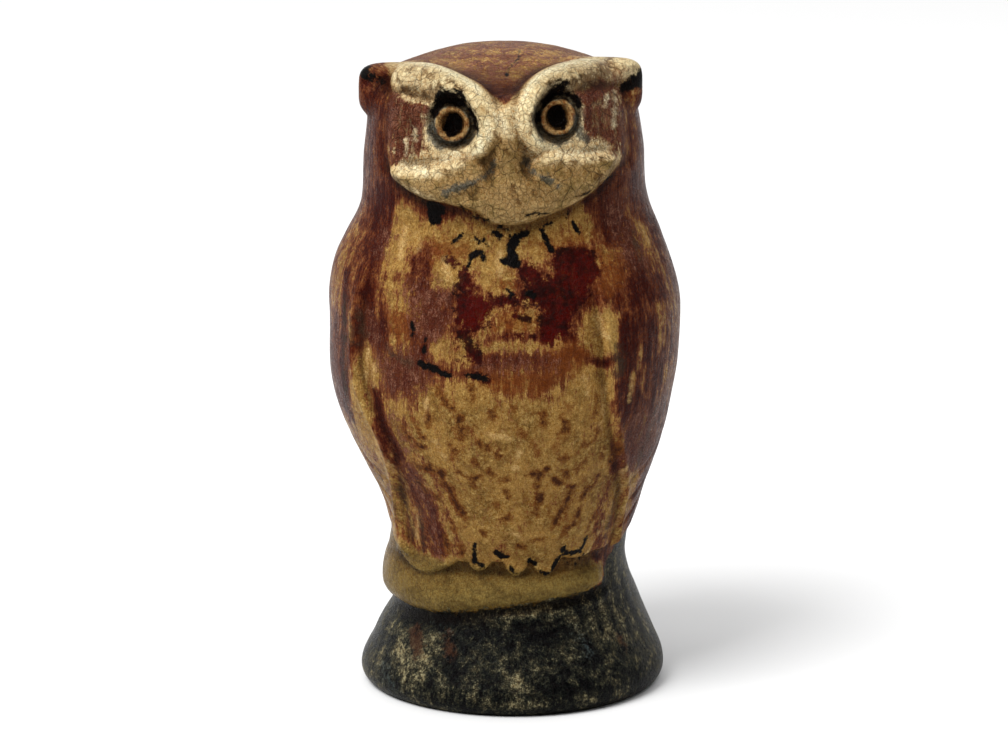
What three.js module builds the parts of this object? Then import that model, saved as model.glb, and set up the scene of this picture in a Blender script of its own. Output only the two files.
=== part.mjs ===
// Hand-built redware owl on a round foot, one fired piece of clay.
// Millimetres, +Z up, the owl looks along -Y; the origin is the middle of its footprint.
import * as THREE from 'three';

// Driving dimensions
const HEIGHT = 250;            // foot to crown
const FOOT_TOP = 33;           // height of the foot, up to the feet roll
const ROLL_TOP = 54;           // top of the feet roll, under the breast's hem
const HEM = 58.5;              // lower edge of the breast feathers
const CHIN = 189;              // lowest point of the facial disc
const EYE_HEIGHT = 227;        // middle of the eyes
const EYE_SPREAD = 39.6;       // between the middles of the eyes
const HEAD_TILT = 2.4;         // the right eye sits this much higher than the left one
const WING_RELIEF = 2.2;       // how far the folded wings stand proud

// Outline, from foot to crown. Each row: height, half width, depth in front, depth behind,
// middle in x, middle in y, squareness of the plan (2 is round).
const OUTLINE = [
  [0, 55.8, 55.3, 55.8, 3.2, 2, 2],
  [1.6, 57.9, 57.4, 57.9, 3.2, 2, 2],
  [6, 59.5, 59, 59.5, 3.3, 2, 2],
  [14, 56.4, 56.3, 57.3, 3.9, 2, 2],
  [23, 51.6, 51, 53, 4, 2, 2],
  [32, 47, 45.5, 49, 4.5, 1.6, 2],
  [42, 45.8, 41.5, 45.5, 2.6, 1, 2],
  [52, 45.6, 41.5, 44.5, 1.4, 1, 2.05],
  [62, 46.2, 45, 46, 2.1, 1, 2.1],
  [72, 47.4, 49, 49, 2.9, 1, 2.15],
  [84, 51.4, 53.6, 53.3, 2.4, 1, 2.2],
  [96, 56.5, 57.2, 57.3, 1.4, 0.5, 2.2],
  [110, 61.3, 59.8, 60.5, 0.2, 0, 2.2],
  [128, 64.8, 60.8, 62.3, 0, 0, 2.2],
  [146, 65.3, 59.3, 62, 0.4, 0, 2.2],
  [160, 65, 55.7, 60, -0.2, 0, 2.2],
  [170, 63.4, 52, 57.6, -0.5, 0, 2.25],
  [178, 60.3, 48.8, 55.4, -0.1, 0, 2.3],
  [187, 56.1, 46.5, 53.3, 0.3, 0, 2.35],
  [196, 54.1, 46.6, 51.8, 0.1, 0, 2.4],
  [210, 53.3, 48, 50.7, 0, 0, 2.45],
  [226, 51.3, 48.4, 48, -0.6, 0, 2.5],
  [234, 49.6, 46, 44.4, -1, 0, 2.45],
  [240, 43, 40, 37.6, -0.5, 0, 2.25],
  [244, 33.6, 31.8, 29.8, -0.2, 0.2, 2.15],
  [247.4, 22.6, 20.8, 21, 0, 0.4, 2.05],
  [249.4, 11.6, 10.8, 11.4, 0, 0.5, 2],
  [HEIGHT, 0, 0, 0, 0, 0.5, 2],
];

// Facial disc, drawn on the front of the head as x, z
const eyeMiddle = (side) => [side * EYE_SPREAD / 2 + 0.4, EYE_HEIGHT + side * HEAD_TILT / 2];
const EYES = [eyeMiddle(-1), eyeMiddle(1)];
const EYEBALL = { hole: 4.4, holeDepth: 3.2, ring: 5.8, ringHalf: 1.4, ringHeight: 2.4, socket: 10.4,
  socketDepth: 2.4 };
const BROWS = [
  [[-35, 240.2], [-29.5, 240.7], [-23.5, 239.8], [-17, 237.4], [-11, 234], [-6.8, 229],
    [-5.8, 222.8], [-8.8, 217.4], [-14.5, 214]],
  [[39, 240.5], [33, 241.5], [26, 241.6], [19, 240.3], [13, 237], [9.2, 231.6],
    [8.8, 225.2], [12, 219.8], [17.8, 216.4]],
];
const BROW = { height: 5, innerHeight: 2.8, halfWidth: 5.9, innerHalfWidth: 3.2 };
const FOREHEAD = { tip: 234.5, depth: 1.8 };   // hollow between the brows, down to the tip of their V
const CHEEKS = [
  [[-41, 207.6], [-34.8, 209.6], [-27, 211.3], [-19, 213.2], [-12, 213.6], [-7, 210.4],
    [-7.2, 205.2], [-13, 200.4], [-20.5, 197.4], [-29.3, 198.8], [-37.2, 202.7]],
  [[41.5, 211.8], [36.2, 214.6], [29, 214.6], [22, 215.4], [15.5, 215.6], [9.8, 212.6],
    [9, 207.6], [13, 201.4], [20, 197.6], [28.2, 198.9], [36.8, 205]],
];
const CHEEK_HEIGHT = 3.2;
const MUZZLE = [
  [-2.6, 234], [4.4, 234], [6, 225], [6.8, 216], [9.4, 208], [16, 200.6], [24, 196.4], [15.6, 192.2],
  [5.9, CHIN + 0.2], [-3, CHIN + 0.4], [-9.2, 192.8], [-20, 196.4], [-13.2, 200.6], [-6.4, 207.5],
  [-4.4, 216.6], [-4, 225.9],
];
const MUZZLE_HEIGHT = 3;
const DISC = [
  [-42.5, 238], [-38, 244], [-24, 243], [-12, 238], [0, 234], [13, 240], [27, 245], [41, 244],
  [45.5, 238], [46, 225], [45, 214], [41.5, 208.6], [35.6, 202.6], [27.1, 196.6], [15.6, 191.8],
  [5.9, CHIN - 0.2], [-4.4, CHIN + 0.2], [-10, 193.4], [-20, 196.2], [-29.3, 197.6],
  [-37.2, 201.6], [-41.8, 206], [-43.6, 215], [-44, 227],
];
const CHIN_STEP = 3;
const TEMPLES = [[-33, 224], [36.5, 226]];
const TEMPLE_DEPTH = 2.2;
const STREAKS = [
  [[-2.6, 213], [-5.6, 207.6], [-12, 203], [-21.5, 199.2]],
  [[6.2, 213.5], [9.6, 208.4], [14.6, 204.4], [20.6, 201.2]],
];
const SIDE_GROOVES = [
  [[-43.4, 238], [-44.6, 226], [-44.6, 213], [-43.4, 204]],
  [[45.6, 238], [46.8, 226], [47.4, 214], [45.6, 206]],
];

// Ear tufts, blunt knobs at the upper corners of the head: middle and half sizes
const EARS = [
  { middle: [-37.5, -13, 234.2], half: [17.2, 9, 10] },
  { middle: [36, -13, 236], half: [16.2, 9, 10.2] },
];
// Hollow in the front of each ear: from, to, depth, half width
const EAR_HOLLOWS = [
  { from: [-50.5, 237.8], to: [-43.5, 237.4], depth: 2.4, half: 2.8 },
  { from: [50, 241.4], to: [44.5, 235], depth: 1.8, half: 2.4 },
];

// Folded wings: the angle of the front edge at each height, for the left and the right wing,
// and the height of the lower edge at each angle. Angles are from the front, in degrees.
const WING_FRONT = {
  left: [[50, 43], [56, 48], [66, 54.4], [78, 55], [92, 48.4], [105, 46.4], [116, 49.5], [127, 53],
    [139, 54.7], [175, 50]],
  right: [[50, 58], [58, 57.5], [70, 55.3], [83, 52], [95, 46], [110, 39.5], [125, 35.7], [138, 33.8],
    [150, 32.6], [175, 30]],
};
const WING_LOW = [[40, 56.5], [57, 59], [68, 64], [80, 72], [95, 80], [112, 84], [130, 82], [148, 75],
  [165, 67], [180, 63]];

// Hem of the breast, as rounded feather ends: angle, half width in degrees, drop
const LOBES = [[-41, 15, 8.5], [-14.3, 8.5, 5], [3.7, 6.5, 5.4], [19.5, 9.5, 7.2], [34, 6, 1.5]];
const HEM_STEP = 1.9;
// Feet roll over the foot: its lower edge at each angle
const ROLL_LOW = [[-110, FOOT_TOP + 0.5], [-67, FOOT_TOP + 1.6], [-41, FOOT_TOP + 1.6], [-22, 36.8],
  [-5, 39], [14, 40.9], [30, 42], [50, 44]];
const ROLL_HEIGHT = 4.4;
const LEDGE = [[-12, 34.6], [4, 35.3], [23, 36], [41, 38.1], [60, 41]];
const LEDGE_HEIGHT = 0.8;

// Tail, a plate of feathers from under the wings down on to the foot, behind
const TAIL = { angle: 172, halfWidth: 30, taper: 9, foot: 10.5, proud: 2.8, flare: 7 };

// Side of a triangle where the surface is plain in front, where it is plain behind, and at the
// finest carving of the face; 1 in GRAIN gives about ten thousand triangles
const GRAIN = 1;
const PLAIN = 7.5;
const BEHIND = 13.5;
const CARVED = 1.85;

const DEGREE = Math.PI / 180;

const clamp = (v, low, high) => Math.min(Math.max(v, low), high);

// Smooth step from 0 at a to 1 at b, also downwards when b is less than a
function step(a, b, v) {
  const t = clamp((v - a) / (b - a), 0, 1);
  return t * t * (3 - 2 * t);
}

// Bell curve of half width w round zero
const bell = (distance, w) => Math.exp(-((distance / w) ** 2));

// Smooth curve through [x, y] points, level at and beyond both ends
function curve(x, points) {
  const last = points.length - 1;
  const slope = (i) => {
    if (i === 0 || i === last) return 0;
    const before = points[i][0] - points[i - 1][0];
    const after = points[i + 1][0] - points[i][0];
    const rise = (points[i][1] - points[i - 1][1]) / before;
    const next = (points[i + 1][1] - points[i][1]) / after;
    return (rise * after + next * before) / (before + after);
  };
  const at = clamp(x, points[0][0], points[last][0]);
  let i = 0;
  while (i < last - 1 && at >= points[i + 1][0]) i += 1;
  const width = points[i + 1][0] - points[i][0];
  const t = (at - points[i][0]) / width;
  const rest = 1 - t;
  return (1 + 2 * t) * rest * rest * points[i][1] + t * rest * rest * width * slope(i)
    + t * t * (3 - 2 * t) * points[i + 1][1] - t * t * rest * width * slope(i + 1);
}

// Natural cubic spline through rows of numbers at the given knots
function spline(knots, rows) {
  const n = knots.length;
  const width = rows[0].length;
  const span = (i) => knots[i + 1] - knots[i];
  const bend = rows.map(() => new Array(width).fill(0));
  const ratio = new Array(n).fill(0);
  for (let i = 1; i < n - 1; i += 1) {
    const pivot = 2 * (span(i - 1) + span(i)) - span(i - 1) * ratio[i - 1];
    ratio[i] = span(i) / pivot;
    for (let c = 0; c < width; c += 1) {
      const turn = (rows[i + 1][c] - rows[i][c]) / span(i) - (rows[i][c] - rows[i - 1][c]) / span(i - 1);
      bend[i][c] = (6 * turn - span(i - 1) * bend[i - 1][c]) / pivot;
    }
  }
  for (let i = n - 2; i > 0; i -= 1) {
    for (let c = 0; c < width; c += 1) bend[i][c] -= ratio[i] * bend[i + 1][c];
  }
  return (s) => {
    let i = 0;
    while (i < n - 2 && s >= knots[i + 1]) i += 1;
    const h = span(i);
    const a = (knots[i + 1] - s) / h;
    const b = (s - knots[i]) / h;
    return rows[i].map((v, c) => a * v + b * rows[i + 1][c]
      + ((a ** 3 - a) * bend[i][c] + (b ** 3 - b) * bend[i + 1][c]) * h * h / 6);
  };
}

// The outline runs on past the crown as its own mirror image, so that the crown closes smoothly
const mirrored = OUTLINE.slice(-3, -1).reverse()
  .map(([z, a, f, b, ...rest]) => [z, -a, -f, -b, ...rest]);
const stations = [...OUTLINE, ...mirrored];
const knots = [0];
for (let i = 1; i < stations.length; i += 1) {
  const size = (row) => (row[1] + row[2] + row[3]) / 3;
  const rise = stations[i][0] - stations[i - 1][0];
  knots.push(knots[i - 1] + Math.hypot(rise, size(stations[i]) - size(stations[i - 1])));
}
const LENGTH = knots[OUTLINE.length - 1];
const outlineAt = spline(knots, stations);

// Plain body at distance s up the outline and angle phi from the front, towards +X
function body(s, phi) {
  const [z, wide, front, back, x, y, square] = outlineAt(clamp(s, 0, LENGTH));
  const sin = Math.sin(phi);
  const cos = Math.cos(phi);
  const depth = back + (front - back) * step(-1, 1, cos);
  const r = (Math.abs(sin) ** square + Math.abs(cos) ** square) ** (-1 / square);
  return new THREE.Vector3(x + wide * r * sin, y - depth * r * cos, z);
}

// Outward normal of the plain body
function bodyNormal(s, phi) {
  const up = body(s + 0.4, phi).sub(body(s - 0.4, phi));
  const round = body(s, phi + 0.004).sub(body(s, phi - 0.004));
  const n = round.cross(up);
  return n.length() > 1e-7 ? n.normalize() : new THREE.Vector3(0, 0, 1);
}

// Catmull-Rom curve through x, z points, as short straight stretches
function bent(points, closed, pieces) {
  const path = new THREE.CatmullRomCurve3(points.map(([x, z]) => new THREE.Vector3(x, z, 0)), closed,
    'catmullrom');
  return path.getPoints(pieces * points.length).map((p) => [p.x, p.y]);
}

// Point on the front of the plain body at x, z
function onFront(x, z) {
  const solve = (low, high, over) => {
    for (let i = 0; i < 40; i += 1) {
      const mid = (low + high) / 2;
      if (over(mid)) high = mid;
      else low = mid;
    }
    return low;
  };
  const s = solve(0, LENGTH, (v) => outlineAt(v)[0] > z);
  return body(s, solve(-Math.PI / 2, Math.PI / 2, (v) => body(s, v).x > x));
}

// Distance from x, z to a bent line, and the share of its length where it is nearest
function nearest(x, z, line) {
  let best = Infinity;
  let share = 0;
  for (let i = 0; i < line.length - 1; i += 1) {
    const [ax, az] = line[i];
    const dx = line[i + 1][0] - ax;
    const dz = line[i + 1][1] - az;
    const t = clamp(((x - ax) * dx + (z - az) * dz) / (dx * dx + dz * dz + 1e-12), 0, 1);
    const distance = Math.hypot(x - ax - t * dx, z - az - t * dz);
    if (distance < best) {
      best = distance;
      share = (i + t) / (line.length - 1);
    }
  }
  return { distance: best, share };
}

// Distance inside a closed line, negative outside it
function inside(x, z, line) {
  let crossings = 0;
  for (let i = 0; i < line.length - 1; i += 1) {
    const [ax, az] = line[i];
    const [bx, bz] = line[i + 1];
    if ((az > z) !== (bz > z) && x < (bx - ax) * (z - az) / (bz - az) + ax) crossings += 1;
  }
  const { distance } = nearest(x, z, line);
  return crossings % 2 ? distance : -distance;
}

const discLine = bent(DISC, true, 4);
const muzzleLine = bent(MUZZLE, true, 4);
const cheekLines = CHEEKS.map((points) => bent(points, true, 4));
const browLines = BROWS.map((points) => bent(points, false, 3).map(([x, z]) => onFront(x, z)));
const streakLines = STREAKS.map((points) => bent(points, false, 5));
const grooveLines = SIDE_GROOVES.map((points) => bent(points, false, 5));

// Rounded roll of clay: full round on top, with a short soft foot
function rollProfile(t) {
  if (t < 1) return Math.sqrt(1 - 0.8 * t * t);
  return 0.447 * clamp(1 - (t - 1) / 0.35, 0, 1);
}

// Brows, rolls laid over the front of the head, past the inner side of each eye and under it
function browRelief(point) {
  let h = 0;
  browLines.forEach((line, side) => {
    let best = Infinity;
    let share = 0;
    const stretch = new THREE.Line3();
    const on = new THREE.Vector3();
    for (let i = 0; i < line.length - 1; i += 1) {
      const t = stretch.set(line[i], line[i + 1]).closestPointToPointParameter(point, true);
      const distance = stretch.at(t, on).distanceTo(point);
      if (distance < best) {
        best = distance;
        share = (i + t) / (line.length - 1);
      }
    }
    const inner = step(0.42, 0.72, share);
    const half = BROW.halfWidth + (BROW.innerHalfWidth - BROW.halfWidth) * inner;
    let height = BROW.height + (BROW.innerHeight - BROW.height) * inner;
    if (side === 1) height *= 0.55 + 0.45 * step(0, 0.18, share);
    height *= 1 - 0.8 * step(0.85, 1, share);
    h += height * rollProfile(best / half);
  });
  return h;
}

// Relief of the face at x, z on the front of the head
function face(x, z) {
  const chin = step(212, 203, z);
  const disc = inside(x, z, discLine);
  let h = CHIN_STEP * step(-1, 1.6, disc) * chin + 1.2 * step(-3, 3, disc) * (1 - chin);
  for (const [tx, tz] of TEMPLES) h -= TEMPLE_DEPTH * bell(Math.hypot(x - tx, (z - tz) / 1.15), 9);
  const ledge = step(203, 210, z);
  for (const line of cheekLines) {
    h += CHEEK_HEIGHT * step(-2.6 + 1.2 * ledge, 4.6 - 1.6 * ledge, inside(x, z, line));
  }
  h += MUZZLE_HEIGHT * step(-3, 6.5, inside(x, z, muzzleLine));
  for (const line of streakLines) {
    const { distance, share } = nearest(x, z, line);
    h -= 0.9 * bell(distance, 2.2) * step(0, 0.15, share) * step(1, 0.8, share);
  }
  for (const line of grooveLines) {
    const { distance, share } = nearest(x, z, line);
    h -= 1.1 * bell(distance, 2.4) * step(0, 0.12, share) * step(1, 0.88, share);
  }
  const forehead = step(0, 5, z - FOREHEAD.tip - 0.42 * Math.abs(x - 1)) * step(248.5, 242, z);
  return h - FOREHEAD.depth * forehead;
}

// Sunk eyeball with a thick rim and a pressed pupil, and its share of the surface at x, z
function eyeRelief(x, z) {
  for (const [ex, ez] of EYES) {
    const r = Math.hypot(x - ex, z - ez);
    if (r < EYEBALL.socket) {
      const height = -EYEBALL.socketDepth + EYEBALL.ringHeight * bell(r - EYEBALL.ring, EYEBALL.ringHalf)
        - EYEBALL.holeDepth * step(EYEBALL.hole + 0.7, EYEBALL.hole - 0.7, r);
      return { height, share: step(EYEBALL.socket, EYEBALL.socket - 2.2, r) };
    }
  }
  return { height: 0, share: 0 };
}

// Relief of wings, hem, roll, ledge and tail; degrees are from the front
function bodyRelief(point, degrees) {
  const { x, y, z } = point;
  const radius = Math.hypot(x, y);
  const away = Math.abs(degrees);
  const shoulder = 1 - step(150, 178, z);
  const front = curve(z, degrees < 0 ? WING_FRONT.left : WING_FRONT.right);
  const past = (away - front) * radius * DEGREE;
  const above = z - curve(away, WING_LOW);
  let h = WING_RELIEF * step(-1.4, 2.2, past) * step(-1.4, 1.8, above) * shoulder;
  h += 0.5 * bell(past - 2.2, 1.8) * shoulder * step(-1, 1, above);

  let hem = HEM + 0.035 * clamp(degrees, -90, 90);
  for (const [angle, half, drop] of LOBES) {
    hem -= drop * clamp(1 - ((degrees - angle) / half) ** 2, 0, 1);
  }
  const breast = step(-70, -58, degrees) * step(58, 46, degrees);
  h += breast * HEM_STEP * step(-0.7, 0.9, z - hem) * step(HEM + 30, HEM + 8, z);

  const rollLow = curve(degrees, ROLL_LOW);
  const up = (z - rollLow) / (ROLL_TOP - rollLow);
  const belly = 0.34;
  if (up > 0) {
    const below = clamp((belly - up) / belly, 0, 1);
    const over = clamp((up - belly) / (1 - belly), 0, 1);
    const profile = Math.sqrt(1 - below * below) - 0.8 * over ** 1.6;
    h += ROLL_HEIGHT * profile * step(1.35, 1, up) * step(-118, -96, degrees) * step(56, 42, degrees);
  }
  h += LEDGE_HEIGHT * bell(z - curve(degrees, LEDGE), 1.6) * step(-16, -6, degrees)
    * step(62, 48, degrees);

  const turn = ((degrees - TAIL.angle + 540) % 360) - 180;
  const across = turn * DEGREE * radius;
  const half = TAIL.halfWidth - TAIL.taper * step(15, 100, z);
  h += TAIL.flare * bell(z - 30, 16) * bell(turn, 62);
  const plate = step(-1.5, 2, half - Math.abs(across)) * step(TAIL.foot, TAIL.foot + 3.5, z)
    * step(0.5, -2, above);
  h += TAIL.proud * plate;
  return h * step(0, 6, z);
}

// Ear knob: everything inside it is pushed out on to it, with a soft fillet round it
function pushOntoEar(point, ear) {
  const fillet = 0.3;
  const v = new THREE.Vector3(...ear.middle.map((m, i) => (point.getComponent(i) - m) / ear.half[i]));
  const size = Math.sqrt(Math.sqrt(v.x ** 4 + v.z ** 4) + v.y ** 2);
  if (size > 1 + fillet) return point;
  const g = clamp(0.5 + 0.5 * (size - 1) / fillet, 0, 1);
  const grown = size * g + 1 - g + fillet * g * (1 - g);
  v.multiplyScalar(grown / size);
  return new THREE.Vector3(...ear.middle.map((m, i) => m + v.getComponent(i) * ear.half[i]));
}

// Finished clay surface at distance s up the outline and angle phi from the front
function skin(s, phi) {
  const point = body(s, phi);
  const normal = bodyNormal(s, phi);
  const degrees = phi / DEGREE;
  const front = step(-0.05, 0.25, Math.cos(phi));
  let out = point.clone().addScaledVector(normal, bodyRelief(point, degrees));
  if (front > 0 && point.z > 176) {
    const forward = new THREE.Vector3(normal.x, normal.y - 0.45, 0.3 * normal.z).normalize();
    const eye = eyeRelief(point.x, point.z);
    const low = face(point.x, point.z) * (1 - eye.share) + eye.height * eye.share;
    out.addScaledVector(forward, low * front);
    out.addScaledVector(normal, browRelief(point) * (1 - eye.share) * front);
  }
  for (const ear of EARS) out = pushOntoEar(out, ear);
  for (const hollow of EAR_HOLLOWS) {
    if (out.y > -6 || out.z < 222) continue;
    const { distance } = nearest(out.x, out.z, [hollow.from, hollow.to]);
    out.y += hollow.depth * bell(distance, hollow.half);
  }
  return out;
}

// Places from 0 to length, with about the wanted spacing at each place
function spaced(length, spacing) {
  const fine = 2000;
  const sum = [0];
  for (let i = 1; i <= fine; i += 1) {
    sum.push(sum[i - 1] + length / fine / spacing(length * (i - 0.5) / fine));
  }
  const count = Math.max(Math.round(sum[fine]), 10);
  const places = [];
  let i = 0;
  for (let k = 0; k < count; k += 1) {
    const want = sum[fine] * k / count;
    while (sum[i + 1] < want) i += 1;
    places.push(length * (i + (want - sum[i]) / (sum[i + 1] - sum[i])) / fine);
  }
  return places;
}

// How fine the surface is at a height and angle, as the side of a triangle
function fineness(z, degrees) {
  const away = Math.abs(degrees);
  const eyes = bell(away - 22, 9) * bell(z - EYE_HEIGHT, 9);
  const facial = step(184, 190, z) * step(248, 244, z) * step(72, 54, away);
  const ears = step(222, 228, z) * step(248, 244, z) * bell(away - 72, 14);
  const hem = step(30, 34, z) * step(66, 59, z) * step(-95, -70, degrees) * step(75, 55, degrees);
  const wing = step(56, 62, z) * step(180, 165, z) * bell(away - 46, 13);
  const wingEnd = step(50, 62, away) * bell(z - curve(away, WING_LOW), 5);
  const tail = step(8, 12, z) * step(74, 64, z) * step(44, 36, 180 - away);
  const plain = PLAIN + (BEHIND - PLAIN) * step(80, 120, away);
  const drawn = (share, side) => BEHIND + (side - BEHIND) * share;
  return GRAIN * Math.min(plain, drawn(facial, CARVED - 0.5 * eyes), drawn(ears, 2.8), drawn(hem, 2.4),
    drawn(wing, 4), drawn(wingEnd, 5.5), drawn(tail, 7));
}

// Row spacing along the outline, by the finest places in the row and by how tightly the outline bends
function rowSpacing(s) {
  const z = outlineAt(s)[0];
  const rim = PLAIN - 5 * step(12, 4, z) - 4 * step(246, 248, z);
  return Math.min(GRAIN * rim, ...[0, 22, 75, 172].map((degrees) => fineness(z, degrees)));
}

// Angles of the points of the row at s, in degrees, from behind round the front to behind again
function rowAngles(s) {
  const [z, wide] = outlineAt(s);
  const degree = Math.max(wide, 6) * DEGREE;
  return spaced(360, (turn) => fineness(z, turn - 180) / degree).map((turn) => turn - 180);
}

// Near an eye, rows and columns are drawn into circles round it, so that its rings come out round
function roundEyes(s, phi) {
  const here = body(s, phi);
  if (here.y > 0) return [s, phi];
  for (const [ex, ez] of EYES) {
    const dx = here.x - ex;
    const dz = here.z - ez;
    const square = Math.max(Math.abs(dx), Math.abs(dz));
    const round = Math.hypot(dx, dz);
    const share = step(EYEBALL.socket + 4, EYEBALL.socket - 1, square) * step(240, 235, here.z);
    if (share > 0 && round > 0) {
      const move = (square / round - 1) * share;
      const across = (body(s, phi + 0.01).x - here.x) / 0.01;
      const up = (body(s + 0.5, phi).z - here.z) / 0.5;
      return [s + dz * move / up, phi + dx * move / across];
    }
  }
  return [s, phi];
}

// One closed row of points; its first place comes again at the end
function ringOfPoints(s, places) {
  const angles = [...rowAngles(s), 180];
  const params = angles.map((angle) => roundEyes(s, angle * DEGREE));
  const points = params.map(([along, phi]) => skin(along, phi));
  const first = places.length;
  places.push(...points.slice(0, -1));
  return { angles, params, points, first, count: points.length - 1 };
}

// How far the middle of a straight edge between two rows lies from the clay surface
function offSurface(low, i, high, j) {
  const [s0, phi0] = low.params[i];
  const [s1, phi1] = high.params[j];
  const middle = low.points[i].clone().add(high.points[j]).multiplyScalar(0.5);
  return middle.distanceTo(skin((s0 + s1) / 2, (phi0 + phi1) / 2));
}

// Triangles between two closed rows that may differ in number: each one takes the way across that
// follows the surface better, unless one row would run ahead of the other
function zip(low, high, index) {
  const at = (row, i) => row.first + (i % row.count);
  const lag = 5;
  let i = 0;
  let j = 0;
  while (i < low.count || j < high.count) {
    let byLow = j === high.count;
    if (i < low.count && j < high.count) {
      const ahead = low.angles[i + 1] - high.angles[j + 1];
      if (Math.abs(ahead) > lag) byLow = ahead < 0;
      else byLow = offSurface(low, i + 1, high, j) <= offSurface(low, i, high, j + 1);
    }
    if (byLow) {
      index.push(at(low, i), at(low, i + 1), at(high, j));
      i += 1;
    } else {
      index.push(at(low, i), at(high, j + 1), at(high, j));
      j += 1;
    }
  }
}

function owlGeometry() {
  const places = [];
  const rows = spaced(LENGTH, rowSpacing).map((s) => ringOfPoints(s, places));
  const underside = places.push(new THREE.Vector3(OUTLINE[0][4], OUTLINE[0][5], 0)) - 1;
  const crown = places.push(skin(LENGTH, 0)) - 1;
  const index = [];
  const lowest = rows[0];
  const highest = rows[rows.length - 1];
  for (let i = 0; i < lowest.count; i += 1) {
    index.push(underside, lowest.first + ((i + 1) % lowest.count), lowest.first + i);
  }
  for (let r = 0; r < rows.length - 1; r += 1) zip(rows[r], rows[r + 1], index);
  for (let i = 0; i < highest.count; i += 1) {
    index.push(highest.first + i, highest.first + ((i + 1) % highest.count), crown);
  }
  const geometry = new THREE.BufferGeometry().setFromPoints(places);
  geometry.setIndex(index);
  geometry.computeBoundingBox();
  const middle = geometry.boundingBox.getCenter(new THREE.Vector3());
  geometry.translate(-middle.x, -middle.y, -geometry.boundingBox.min.z);
  geometry.computeVertexNormals();
  return geometry;
}

const clay = new THREE.MeshStandardMaterial({ color: 0x8a4a2c, roughness: 0.35, metalness: 0 });
const owl = new THREE.Mesh(owlGeometry(), clay);
owl.name = 'redware_owl';

const group = new THREE.Group();
group.add(owl);
export default group;
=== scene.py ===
"""Redware owl on a round foot, its modelled clay, painted slips and crazed glaze.

Lengths of the clay are in millimetres and become metres when the mesh is made. The owl looks
along -Y; angles are from its front, towards +X, and heights are from the table.
"""

import bpy
import numpy as np
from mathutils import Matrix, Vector


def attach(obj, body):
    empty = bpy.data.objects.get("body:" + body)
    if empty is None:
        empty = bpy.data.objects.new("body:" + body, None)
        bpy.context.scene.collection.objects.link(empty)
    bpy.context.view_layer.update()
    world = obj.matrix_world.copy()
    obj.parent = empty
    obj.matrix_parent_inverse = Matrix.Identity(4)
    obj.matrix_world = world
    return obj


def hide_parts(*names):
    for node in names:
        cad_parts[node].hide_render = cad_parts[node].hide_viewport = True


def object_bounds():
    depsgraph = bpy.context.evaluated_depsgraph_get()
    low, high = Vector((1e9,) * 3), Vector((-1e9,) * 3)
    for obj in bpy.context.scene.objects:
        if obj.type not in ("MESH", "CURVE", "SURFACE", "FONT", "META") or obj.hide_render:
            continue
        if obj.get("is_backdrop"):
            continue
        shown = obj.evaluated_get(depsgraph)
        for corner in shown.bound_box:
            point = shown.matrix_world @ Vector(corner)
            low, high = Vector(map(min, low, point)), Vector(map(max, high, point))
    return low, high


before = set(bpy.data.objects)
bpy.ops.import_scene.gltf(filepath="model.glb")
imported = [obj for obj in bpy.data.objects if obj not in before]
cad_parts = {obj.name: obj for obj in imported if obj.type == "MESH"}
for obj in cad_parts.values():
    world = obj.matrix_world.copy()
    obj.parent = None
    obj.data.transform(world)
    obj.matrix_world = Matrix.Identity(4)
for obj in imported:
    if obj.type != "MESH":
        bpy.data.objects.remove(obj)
cad_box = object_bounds()

# The body: red earthenware thrown and pressed into a tall hollow owl on a flared foot. Its
# outline is a smooth curve through measured rows, and each level is a rounded square.
HEIGHT = 250
# Height, half width, depth in front, depth behind, middle in x, middle in y, squareness
OUTLINE = np.array([
    [0, 55.8, 55.3, 55.8, 3.2, 2, 2],
    [1.6, 57.9, 57.4, 57.9, 3.2, 2, 2],
    [6, 59.5, 59, 59.5, 3.3, 2, 2],
    [14, 56.4, 56.3, 57.3, 3.9, 2, 2],
    [23, 51.6, 51, 53, 4, 2, 2],
    [32, 47, 45.5, 49, 4.5, 1.6, 2],
    [42, 45.8, 41.5, 45.5, 2.6, 1, 2],
    [52, 45.6, 41.5, 44.5, 1.4, 1, 2.05],
    [62, 46.2, 45, 46, 2.1, 1, 2.1],
    [72, 47.4, 49, 49, 2.9, 1, 2.15],
    [84, 51.4, 53.6, 53.3, 2.4, 1, 2.2],
    [96, 56.5, 57.2, 57.3, 1.4, 0.5, 2.2],
    [110, 61.3, 59.8, 60.5, 0.2, 0, 2.2],
    [128, 64.8, 60.8, 62.3, 0, 0, 2.2],
    [146, 65.3, 59.3, 62, 0.4, 0, 2.2],
    [160, 65, 55.7, 60, -0.2, 0, 2.2],
    [170, 63.4, 52, 57.6, -0.5, 0, 2.25],
    [178, 60.3, 48.8, 55.4, -0.1, 0, 2.3],
    [187, 56.1, 46.5, 53.3, 0.3, 0, 2.35],
    [196, 54.1, 46.6, 51.8, 0.1, 0, 2.4],
    [210, 53.3, 48, 50.7, 0, 0, 2.45],
    [226, 51.3, 48.4, 48, -0.6, 0, 2.5],
    [234, 49.6, 46, 44.4, -1, 0, 2.45],
    [240, 43, 40, 37.6, -0.5, 0, 2.25],
    [244, 33.6, 31.8, 29.8, -0.2, 0.2, 2.15],
    [247.4, 22.6, 20.8, 21, 0, 0.4, 2.05],
    [249.4, 11.6, 10.8, 11.4, 0, 0.5, 2],
    [HEIGHT, 0, 0, 0, 0, 0.5, 2],
])
# Past the crown the outline runs on as its own mirror image, so that the crown closes smoothly
mirrored = OUTLINE[[-2, -3]] * [1, -1, -1, -1, 1, 1, 1]
stations = np.vstack([OUTLINE, mirrored])
run = np.hypot(np.diff(stations[:, 0]), np.diff(stations[:, 1:4].mean(axis=1)))
knots = np.concatenate([[0], np.cumsum(run)])
LENGTH = knots[len(OUTLINE) - 1]


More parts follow.
